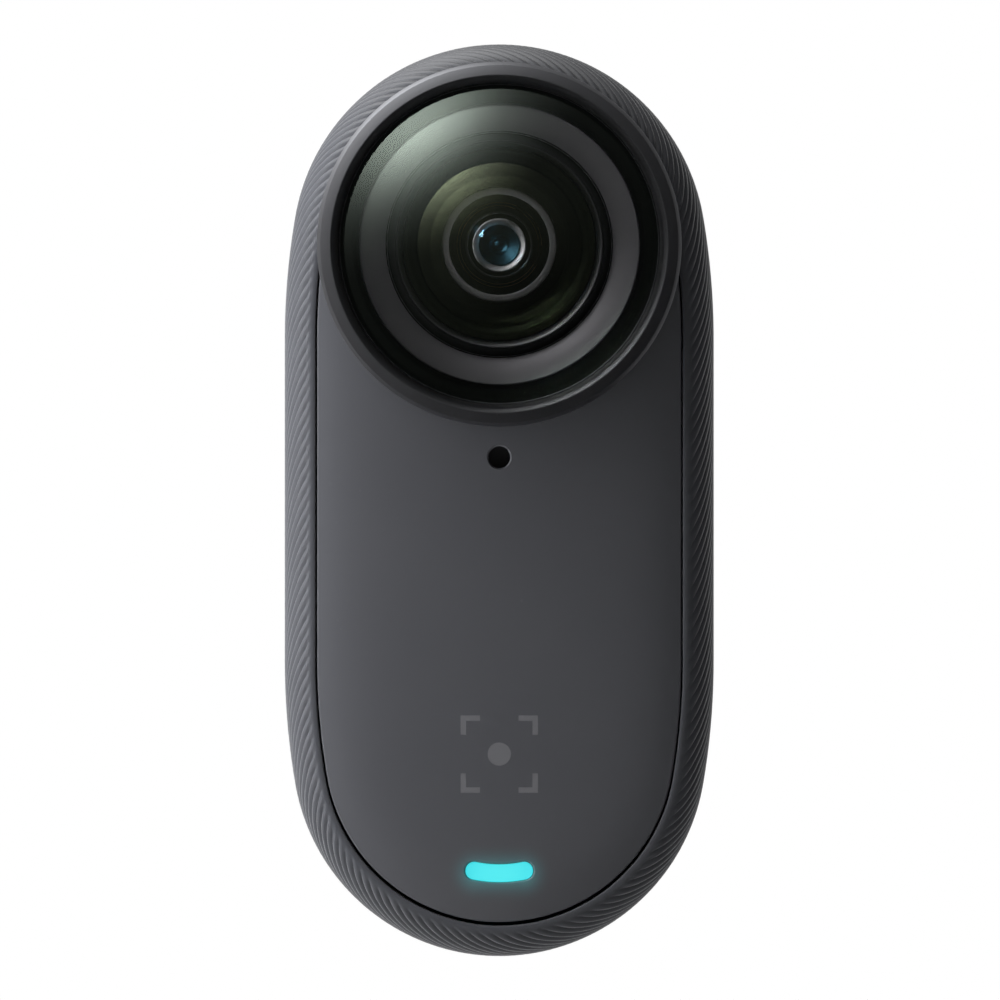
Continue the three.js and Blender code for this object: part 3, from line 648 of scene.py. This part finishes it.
buttonPlace = {
    "depth": -(buttonLow.y + buttonHigh.y) / 2 / mm,
    "height": (buttonLow.z + buttonHigh.z) / 2 / mm,
}


def bandProfile():
    # (inset, depth, outward share, forward share) round the wall's section, from the front lip's inner edge
    opening, rimFront, rimBack = band["opening"], band["rimFront"], band["rimBack"]
    width, fall = band["edgeWidth"], band["edgeDepth"]
    steps, sides = band["edgeSteps"], band["sideSteps"]

    def edgeRow(rim, facing, a):
        # a point of an elliptical edge, from the side at no turn to the rim at a quarter turn
        out, deep = cos(a), sin(a)
        length = sqrt((out / width) ** 2 + (deep / fall) ** 2)
        ahead = facing * deep / fall / length
        return width * (1 - out), rim - facing * fall * (1 - deep), out / width / length, ahead

    rows = [
        (opening, band["lipBack"], 0, 0),
        (opening, rimFront - 0.06, 0, 0),
        (opening - 0.015, rimFront - 0.015, 0, 0),
        (opening - 0.05, rimFront, 0, 1),
    ]
    rows += [edgeRow(rimFront, 1, pi / 2 * (1 - i / steps)) for i in range(steps + 1)]
    low, high = rimBack + fall, rimFront - fall
    rows += [(0, high + (low - high) * i / sides, 1, 0) for i in range(1, sides)]
    rows += [edgeRow(rimBack, -1, pi / 2 * i / steps) for i in range(steps + 1)]
    inner = opening + band["ledgeWidth"]
    rows += [
        (opening - 0.1, rimBack, 0, -1),
        (opening, rimBack + 0.12, 0, 0),
        (opening, band["ledgeBack"], 0, 0),
        (inner, band["ledgeBack"], 0, 0),
        (inner, band["ledgeFront"], 0, 0),
        (band["wall"], band["ledgeFront"], 0, 0),
        (band["wall"], band["lipBack"], 0, 0),
    ]
    return rows


def makeBand():
    rows = bandProfile()
    columns = len(band["ribShape"])
    around = band["ribs"] * columns
    travel = 0.0
    walks = [0.0]
    for before, after in zip(rows, rows[1:]):
        travel += sqrt((before[0] - after[0]) ** 2 + (before[1] - after[1]) ** 2)
        walks.append(travel)
    outer = [i for i, row in enumerate(rows) if row[2] or row[3]]
    ribStart, ribEnd = walks[outer[0]], walks[outer[-1]]
    notch, notchClear, buttonClear = band["notch"], band["notchClear"], band["buttonClear"]

    def place(row, walk):
        inset, depth, out, ahead = row
        fromLip = min(walk - ribStart, ribEnd - walk)
        ribShare = smoothStep(band["plainLip"], band["plainLip"] + band["fadeIn"], fromLip)
        turnBy = band["slant"] * max(0.0, min(walk, ribEnd) - ribStart) * mm

        def at(share):
            x, z, nx, nz = edgeAt(share * 4 * quarterLength + turnBy)
            rib = ribShare * band["ribShape"][round(share * around) % columns] * band["ribHeight"]
            if rib and x > 0:
                across = (depth - buttonPlace["depth"]) / buttonClear["across"]
                along = (z / mm - buttonPlace["height"]) / buttonClear["along"]
                away = sqrt(across ** 2 + along ** 2)
                rib *= smoothStep(buttonClear["from"], buttonClear["to"], away)
            if rib and abs(nx) > 0.9:
                across = abs(depth - notch["depthCentre"]) / notchClear["across"]
                along = abs(z / mm - notch["height"]) / notchClear["along"]
                rib *= smoothStep(notchClear["from"], notchClear["to"], max(across, along))
            sunk = band["ribHeight"] * ribShare - rib
            inward = (inset + sunk * out) * mm
            return Vector((x - inward * nx, -(depth - sunk * ahead) * mm, z - inward * nz))
        return at

    bm = bmesh.new()
    sweepRings(bm, around, [place(row, walk) for row, walk in zip(rows, walks)], True)
    piece = finishMesh(bm, "shellBand", 0.9)
    cutters = [slotCutter(
        "buttonHole", band["buttonHole"], ((pi / 2, "Z"), (pi / 2, "X")),
        (outline["halfWidth"], -buttonPlace["depth"] * mm, buttonPlace["height"] * mm),
    )]
    blockWidth = 2 * mm
    for side in (-1, 1):
        blockX = side * (outline["halfWidth"] - notch["depth"] * mm + blockWidth / 2)
        cutters.append(boxCutter(
            "notchCutter", (blockWidth, notch["width"] * mm, notch["length"] * mm),
            (blockX, -notch["depthCentre"] * mm, notch["height"] * mm), notch["rounding"] * mm,
        ))
    carve(piece, cutters, 0.9)
    return piece


shellBand = makeBand()
dress(shellBand, "softTouchShell", "camera_body", "side_shell", slotName="soft_touch_shell")
print("side shell ready:", len(shellBand.data.polygons))

# front panel and rear cover: plates crowned from their edge to their spine


def crownedPlate(name, shape, around=360):
    # facing is 1 for a face to the front and -1 for one to the rear
    inset, face, inner, facing = shape["inset"], shape["face"], shape["inner"], shape["facing"]
    lift = shape.get("lowerTrim", 0.0)
    radius = shape["edgeRadius"]
    edgeSteps, crownSteps = 4, 16

    def place(more, depth, share=0.0):
        def at(turn):
            x, z, nx, nz = edgeAt(turn * 4 * quarterLength)
            x, z = x - (inset + more) * mm * nx, z - (inset + more) * mm * nz
            if z < 0:
                z += lift * mm * smoothStep(0.0, endCentre, -z)
            spine = max(-endCentre, min(endCentre, z))
            return Vector((x * (1 - share), -depth * mm, z + (spine - z) * share))
        return at

    edgeFace = face - facing * shape["crown"]
    rings = [place(0.0, inner), place(0.0, edgeFace - facing * radius)]
    for i in range(1, edgeSteps + 1):
        a = pi / 2 * i / edgeSteps
        rings.append(place(radius * (1 - cos(a)), edgeFace - facing * radius * (1 - sin(a))))
    for i in range(1, crownSteps + 1):
        share = i / crownSteps
        rings.append(place(radius, face - facing * shape["crown"] * (1 - share) ** shape["power"], share))
    bm = bmesh.new()
    first, last = sweepRings(bm, around, rings, False)
    bmesh.ops.edgeloop_fill(bm, edges=first)
    bmesh.ops.remove_doubles(bm, verts=bm.verts, dist=0.004 * mm)
    return finishMesh(bm, name, 0.5)


def holeCutter(name, radius, mouth, deep, flare, centre, facing=1, steps=64):
    clear = 0.5  # how far the cutter stands out of the mouth
    profile = [
        (0, mouth + facing * clear), (radius + flare + clear, mouth + facing * clear), (radius + flare, mouth),
        (radius, mouth - facing * flare), (radius, deep), (0, deep),
    ]
    return turned(name, profile, steps, centre=centre)


panelShape = {
    "inset": 1.96, "lowerTrim": 0.14, "face": 15.75, "inner": 14.35, "facing": 1, "crown": 0.36, "power": 7.0,
    "edgeRadius": 0.1, "lensHole": 10.16, "lensMouth": 15.7, "hornTop": 14.25, "micHeight": 2.56,
    "micRadius": 0.65, "micMouth": 15.72, "cutTo": 5.0,
}
lightShape = {
    "arcRadius": 7.35, "width": 1.05, "length": 4.05, "gap": 0.04, "back": 14.45, "face": 15.58,
    "rounding": 0.05, "slotMouth": 15.66, "slotFlare": 0.03,
}


def arcBar(name, grow, back, front, flare):
    # a bar bent round the lower end's centre, with round tips; a flare above 0 makes it a cutter
    half = (lightShape["width"] / 2 + grow) * mm
    bend = (lightShape["length"] - lightShape["width"]) / 2 / lightShape["arcRadius"]
    centreRadius = lightShape["arcRadius"] * mm
    clear = 0.3

    def place(depth, more):
        def at(share):
            # the outer side, the right tip, the inner side and the left tip take a quarter each
            side, along = divmod(share * 4, 1)
            sway = (2 * along - 1, 1, 1 - 2 * along, -1)[int(side)]
            swing = (0, along, 1, 1 + along)[int(side)] * pi
            spine = -pi / 2 + bend * sway
            radius = half + more * mm
            return Vector((
                centreRadius * cos(spine) + radius * cos(spine + swing),
                -depth * mm,
                -endCentre + centreRadius * sin(spine) + radius * sin(spine + swing),
            ))
        return at

    bm = bmesh.new()
    rings = [place(back, 0.0), place(front - abs(flare), 0.0), place(front, flare)]
    if flare > 0:
        rings.append(place(front + clear, flare + clear))
    first, last = sweepRings(bm, 64, rings, False)
    for loop in (first, last):
        bmesh.ops.edgeloop_fill(bm, edges=loop)
    return finishMesh(bm, name)


frontPlate = crownedPlate("frontPlate", panelShape)
# the block trims the panel's two horns beside the lens
carve(frontPlate, [
    holeCutter(
        "lensHole", panelShape["lensHole"], panelShape["lensMouth"], panelShape["cutTo"], 0.05, (lensX, lensZ),
        steps=180,
    ),
    boxCutter("hornTrim", (40 * mm, 20 * mm, 20 * mm), (0, -15 * mm, (panelShape["hornTop"] + 10) * mm)),
    holeCutter(
        "micHole", panelShape["micRadius"], panelShape["micMouth"], panelShape["cutTo"], 0.06,
        (0, panelShape["micHeight"] * mm),
    ),
    arcBar(
        "lightSlot", lightShape["gap"], panelShape["cutTo"], lightShape["slotMouth"], lightShape["slotFlare"],
    ),
], 0.5)
dress(frontPlate, "panelPlastic", "shutter_panel", "front_panel", slotName="cover_plastic")
lightBar = arcBar("statusLight", 0.0, lightShape["back"], lightShape["face"], -lightShape["rounding"])
dress(lightBar, "lightGuide", "shutter_panel", "status_light_guide", slotName="cyan_light")

rearShape = {
    "inset": 1.97, "face": 0.0, "inner": 1.3, "facing": -1, "crown": 0.28, "power": 9.0, "edgeRadius": 0.12,
    "contactHole": 0.88, "holeFlare": 0.08, "cutTo": 2.0,
    "speakerSlot": {"halfLength": 2.2, "halfWidth": 0.4, "flare": 0.08, "depth": 3.0},
}
rearPlate = crownedPlate("rearPlate", rearShape)
contactLow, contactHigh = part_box("charging_contact_1")
contactZ = (contactLow.z + contactHigh.z) / 2
contactXs = []
for number in range(1, 6):
    low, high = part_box(f"charging_contact_{number}")
    contactXs.append((low.x + high.x) / 2)
speakerLow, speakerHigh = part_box("speaker_mesh")
rearCutters = [slotCutter(
    "speakerSlot", rearShape["speakerSlot"], ((pi, "Z"),), (0, 0, (speakerLow.z + speakerHigh.z) / 2),
)]
for x in contactXs:
    rearCutters.append(holeCutter(
        "contactHole", rearShape["contactHole"], rearShape["face"], rearShape["cutTo"], rearShape["holeFlare"],
        (x, contactZ), -1, 32,
    ))
carve(rearPlate, rearCutters, 0.5)
dress(rearPlate, "coverPlastic", "camera_body", "rear_cover", slotName="cover_plastic")

contactShape = [(0, 0.1), (0.62, 0.1), (0.8, 0.22), (0.8, 0.55), (0.4, 0.55), (0.4, 1.3), (0, 1.3)]
for number, x in enumerate(contactXs, 1):
    pin = turned(f"contactPin{number}", contactShape, 32, centre=(x, contactZ))
    dress(pin, "goldPlate", "camera_body", f"charging_contact_{number}", slotName="gold_plate")
print("covers ready")

# lens guard

guardShape = {
    "profile": [
        (10.7, 15.9), (10.82, 16.05), (10.82, 20.06), (10.62, 20.35), (10.04, 20.65), (9.97, 20.63),
        (9.55, 20.1), (9.55, 19.2), (8.75, 19.2), (8.75, 18.5), (9.55, 18.5), (9.55, 15.9),
    ],
    "soften": 0.012,
}
guardRing = turned("guardRing", guardShape["profile"], 200, guardShape["soften"], sharpAngle=0.3)
dress(guardRing, "guardMetal", "lens_guard", "guard_ring", slotName="guard_metal")

glassShape = {"radius": 9.49, "edge": 20.4, "apex": 24.8, "wall": 0.8, "innerEdge": 20.1, "rimBack": 19.25}
rimInner = glassShape["radius"] - glassShape["wall"]
guardGlass = turned(
    "guardGlass",
    dome(rimInner, glassShape["innerEdge"], glassShape["apex"] - glassShape["wall"], 40)[::-1]
    + [(rimInner, glassShape["rimBack"]), (glassShape["radius"], glassShape["rimBack"])]
    + dome(glassShape["radius"], glassShape["edge"], glassShape["apex"], 44),
    200,
)
dress(guardGlass, "guardGlass", "lens_guard", "guard_glass", slotName="lens_glass")

# a near-black sheet behind the glass's rim, painted shade for the dark of the deep gap there, and the thin
# bright edge round its front
rimShadeSheet = turned("rimShadeSheet", [(8.38, 19.21), (9.5, 19.21), (9.5, 19.24), (8.38, 19.24)], 160)
dress(rimShadeSheet, "lensBlack", "lens_guard", slotName="black_plastic")
glassEdgeShape = [(9.44, 20.28), (9.49, 20.28), (9.5, 20.34), (9.47, 20.4), (9.43, 20.38)]
glassEdge = turned("glassEdge", glassEdgeShape, 180)
dress(glassEdge, "guardMetal", "lens_guard", slotName="guard_metal")

# lens

lensShape = {
    "faceRing": {
        "finish": "faceGrey", "slot": "face_plastic", "nodes": ["lens_face_ring"],
        "profile": [(6.64, 17.7), (8.36, 17.7), (8.36, 18.6), (8.3, 18.65), (6.7, 17.98), (6.64, 17.94)],
    },
    "elementRetainer": {
        "finish": "retainerMetal", "slot": "black_plastic", "nodes": ["front_element_retainer"],
        "profile": [
            (5.76, 17.35), (6.59, 17.35), (6.59, 17.6), (6.2, 17.75), (6.17, 18.5), (6.1, 18.6), (6.02, 18.56),
            (5.78, 18.22),
        ],
    },
    "lensBaffle": {
        "finish": "lensBlack", "slot": "black_plastic", "nodes": ["inner_cell_ring"],
        "profile": [(2.02, 15.08), (3.38, 15.08), (3.38, 16.1), (2.98, 16.1), (2.9, 15.9), (2.02, 15.3)],
    },
    "cellRing": {
        "finish": "cellGrey", "slot": "face_plastic", "nodes": [],
        "profile": [(2.99, 16.05), (3.41, 16.05), (3.41, 16.12), (3.38, 16.16), (3.06, 16.3), (2.99, 16.27)],
    },
    "elementRim": {
        "finish": "magnetNickel", "slot": "steel", "nodes": [],
        "profile": [(1.88, 15.02), (1.96, 15.02), (1.96, 15.37), (1.945, 15.4), (1.92, 15.41), (1.895, 15.4)],
    },
    "deepRing": {
        "finish": "cellGrey", "slot": "face_plastic", "nodes": [],
        "profile": [(1.22, 13.9), (1.6, 13.9), (1.6, 14.12), (1.54, 14.16), (1.26, 14.02), (1.22, 13.98)],
    },
    "coreDish": {
        "finish": "coreBlue", "slot": "lens_glass", "nodes": [],
        "profile": [
            (0, 13.75), (0.2, 13.72), (0.3, 13.66), (0.42, 13.7), (0.6, 13.82), (0.62, 13.95), (0.8, 13.96),
            (1.2, 14.16), (1.2, 13.6), (0, 13.6),
        ],
    },
}
lensPieces = {}
for name, shape in lensShape.items():
    lensPieces[name] = turned(name, shape["profile"], 144, 0.02)
    dress(lensPieces[name], shape["finish"], "camera_body", *shape["nodes"], slotName=shape["slot"])

trimWires = {"places": [(2.52, 15.66), (2.34, 15.55)], "thickness": 0.016, "sides": 6}
wireTurns = [2 * pi * i / trimWires["sides"] for i in range(trimWires["sides"])]
for number, (radius, depth) in enumerate(trimWires["places"], 1):
    thick = trimWires["thickness"]
    section = [(radius + thick * cos(a), depth + thick * sin(a)) for a in wireTurns]
    dress(turned(f"trimWire{number}", section, 120), "trimBrass", "camera_body", slotName="gold_plate")

elementShape = {
    "radius": 5.7, "edge": 18.3, "apex": 20.6, "centre": 1.95, "back": 16.5, "backRadius": 5.0,
    "backEdge": 16.9,
}
backApex = elementShape["apex"] - elementShape["centre"]
frontElement = turned(
    "frontElement",
    dome(elementShape["backRadius"], elementShape["backEdge"], backApex, 20)[::-1]
    + [(elementShape["backRadius"], elementShape["back"]), (elementShape["radius"], elementShape["back"])]
    + dome(elementShape["radius"], elementShape["edge"], elementShape["apex"], 36),
    160,
)
dress(frontElement, "frontGlass", "camera_body", "front_element", slotName="lens_glass")

secondElement = turned(
    "secondElement", [(0, 13.5), (1.85, 13.5)] + dome(1.85, 14.5, 15.0, 16), 96,
)
dress(secondElement, "innerGlass", "camera_body", "second_element", slotName="lens_glass")
print("lens ready")

# power button


buttonShape = {
    "halfLength": 3.2, "halfWidth": 1.2, "round": 0.18, "flangeLength": 3.9, "flangeWidth": 1.9, "back": 10.95,
    "flangeTop": 11.35, "sunk": 0.05, "crown": 0.06, "crownWidth": 0.05,
}


def makeButton():
    length, width, edge = buttonShape["halfLength"], buttonShape["halfWidth"], buttonShape["round"]
    flange = (buttonShape["flangeLength"], buttonShape["flangeWidth"])
    edgeSteps, crownSteps = 4, 5

    def place(long, wide, x):
        def at(share):
            a = 2 * pi * share
            reach = (long - wide) * mm
            side = reach if sin(a) >= 0 else -reach
            return Vector((
                x * mm,
                -buttonPlace["depth"] * mm + wide * mm * cos(a),
                buttonPlace["height"] * mm + side + wide * mm * sin(a),
            ))
        return at

    top = outline["halfWidth"] / mm - buttonShape["sunk"]
    rings = [
        place(*flange, buttonShape["back"]),
        place(*flange, buttonShape["flangeTop"]),
        place(length, width, buttonShape["flangeTop"]),
        place(length, width, top - edge),
    ]
    for i in range(1, edgeSteps + 1):
        a = pi / 2 * i / edgeSteps
        shrink = edge * (1 - cos(a))
        rings.append(place(length - shrink, width - shrink, top - edge * (1 - sin(a))))
    for i in range(1, crownSteps + 1):
        shrink = edge + (width - edge - buttonShape["crownWidth"]) * i / crownSteps
        fall = buttonShape["crown"] * sin(pi / 2 * i / crownSteps)
        rings.append(place(length - shrink, width - shrink, top - fall))
    bm = bmesh.new()
    first, last = sweepRings(bm, 64, rings, False)
    for loop in (first, last):
        bmesh.ops.edgeloop_fill(bm, edges=loop)
    return finishMesh(bm, "powerKey", 0.5)


dress(makeButton(), "buttonPlastic", "power_key", "power_button", slotName="button_plastic")
print("power button ready")

# finishes of the pieces that keep their plain shape

plainPieces = {
    "blackRubber": ["rear_gasket", "guard_seal"],
    "blackPlastic": ["front_chassis", "lens_collar", "speaker"],
    "buttonPlastic": ["microphone_mesh"],
    "lensBlack": ["lens_barrel"],
    "satinSteel": [
        "chassis_screw_1", "chassis_screw_2", "chassis_screw_3", "chassis_screw_4", "rocker_pin_left",
        "rocker_pin_right", "processor_shield", "heat_spreader", "shutter_plunger", "microphone",
        "speaker_mesh", "power_plunger",
    ],
    "innerGlass": ["rear_element", "infrared_filter"],
    "chipEpoxy": ["image_sensor", "memory_chip", "shutter_switch", "power_switch"],
    "circuitBoard": ["sensor_board", "main_board", "key_board", "side_key_board", "contact_board"],
    "flexFilm": ["sensor_flex"],
    "batteryWrap": ["battery"],
    "goldPlate": ["antenna"],
    "magnetNickel": ["magnet_upper", "magnet_lower"],
    "lightGuide": ["status_led"],
}
for finish, names in plainPieces.items():
    for name in names:
        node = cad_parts[name]
        for place in node.material_slots:
            place.material = finishes[finish]
print("plain pieces dressed")

# studio

studio = {
    "floorDrop": 36 * mm,
    "floorHalf": 0.3,
    "cameraLens": 900.0,
    "frameWidth": 59.8 * mm,
    "frameHeight": 0.015 * mm,
    "focusDepth": 8 * mm,
    "cameraShift": 0.045 * mm,
    "keyAcross": -0.58,
    "keyUp": 0.815,
    "keyFrom": 0.35,
    "keyStrength": 1.3,
    "keyPeak": 6.5,
    "behind": 0.9,
    "fill": 0.055,
}
lamps = {
    "keySoftbox": {"spot": (-0.4, -0.4, 0.3), "aim": (0, -0.01, 0.005), "size": (0.5, 0.5), "power": 0.35},
    "leftStrip": {
        "spot": (-0.038, -0.0265, 0.005), "aim": (0, -0.015, 0), "size": (0.01, 0.09), "power": 0.09,
    },
    "lensSpark": {
        "spot": (-0.17, -0.21, 0.13), "aim": (lensX, -0.014, lensZ), "size": (0.08, 0.08), "power": 0.55,
    },
}


def makeFloor():
    bm = bmesh.new()
    bmesh.ops.create_grid(bm, x_segments=8, y_segments=8, size=studio["floorHalf"])
    bmesh.ops.translate(bm, verts=bm.verts, vec=(0, 0, -studio["floorDrop"]))
    floor = finishMesh(bm, "studioFloor")
    material, tree, shader = newMaterial("floorPaper")
    paper = noiseNode(tree, objectVector(tree), 40.0, 4.0)
    tree.links.new(mixColour(tree, paper, (0.86, 0.86, 0.86), (0.9, 0.9, 0.9)), shader.inputs["Base Color"])
    shader.inputs["Roughness"].default_value = 0.9
    floor.data.materials.append(material)
    floor.visible_glossy = False


def makeLamp(name):
    look = lamps[name]
    lamp = bpy.data.lights.new(name, "AREA")
    lamp.shape = "RECTANGLE"
    lamp.size, lamp.size_y = look["size"]
    lamp.energy = look["power"]
    holder = bpy.data.objects.new(name, lamp)
    scene.collection.objects.link(holder)
    holder.location = look["spot"]
    holder.visible_glossy = False
    holder.rotation_euler = (Vector(look["aim"]) - Vector(look["spot"])).to_track_quat("-Z", "Y").to_euler()
    return holder


def makeWorld():
    # white to the eye; to the object, a soft key from the upper left, white well behind, dim elsewhere
    world = bpy.data.worlds.new("studio")
    world.use_nodes = True
    scene.world = world
    tree = world.node_tree
    background = tree.nodes["Background"]
    split = splitVector(tree, tree.nodes.new("ShaderNodeTexCoord").outputs["Generated"])
    behind = tree.nodes.new("ShaderNodeMapRange")
    behind.interpolation_type = "SMOOTHSTEP"
    behind.inputs["From Min"].default_value = 0.3
    behind.inputs["From Max"].default_value = 0.95
    tree.links.new(split["Y"], behind.inputs["Value"])
    across = mathNode(tree, "MULTIPLY", split["X"], studio["keyAcross"])
    toward = mathNode(tree, "ADD", across, mathNode(tree, "MULTIPLY", split["Z"], studio["keyUp"]))
    ramp = mathNode(tree, "SUBTRACT", toward, studio["keyFrom"])
    ramp = mathNode(tree, "MAXIMUM", mathNode(tree, "DIVIDE", ramp, 1 - studio["keyFrom"]), 0.0)
    soft = mathNode(tree, "MULTIPLY", mathNode(tree, "POWER", ramp, 2.0), studio["keyStrength"])
    peak = mathNode(tree, "MULTIPLY", mathNode(tree, "POWER", ramp, 7.0), studio["keyPeak"])
    ambient = mathNode(tree, "ADD", mathNode(tree, "MULTIPLY", toward, studio["fill"]), studio["fill"])
    lit = mathNode(tree, "ADD", mathNode(tree, "ADD", soft, peak), ambient)
    lit = mathNode(tree, "MAXIMUM", lit, mathNode(tree, "MULTIPLY", behind.outputs[0], studio["behind"]))
    path = tree.nodes.new("ShaderNodeLightPath")
    strength = mathNode(tree, "MAXIMUM", lit, path.outputs["Is Camera Ray"])
    background.inputs["Color"].default_value = (1, 1, 1, 1)
    tree.links.new(strength, background.inputs["Strength"])


def makeCamera():
    camera = bpy.data.objects.new("camera", bpy.data.cameras.new("camera"))
    scene.collection.objects.link(camera)
    camera.data.lens = studio["cameraLens"]
    camera.data.sensor_width = 36.0
    distance = studio["frameWidth"] * camera.data.lens / camera.data.sensor_width
    camera.location = (studio["cameraShift"], -distance - studio["focusDepth"], studio["frameHeight"])
    camera.rotation_euler = (pi / 2, 0, 0)
    camera.data.clip_start = 0.1
    camera.data.clip_end = 10.0
    scene.camera = camera


makeFloor()
makeWorld()
makeCamera()
makeLamp("keySoftbox")
makeLamp("leftStrip")
# a small lamp that lights only the parts deep in the lens, where the studio's light hardly reaches
spark = makeLamp("lensSpark")
spark.visible_glossy = True
deepParts = bpy.data.collections.new("deepLensParts")
for piece in (lensPieces["elementRim"], lensPieces["deepRing"], lensPieces["coreDish"], secondElement):
    deepParts.objects.link(piece)
spark.light_linking.receiver_collection = deepParts
spark.light_linking.blocker_collection = deepParts
print("studio ready")
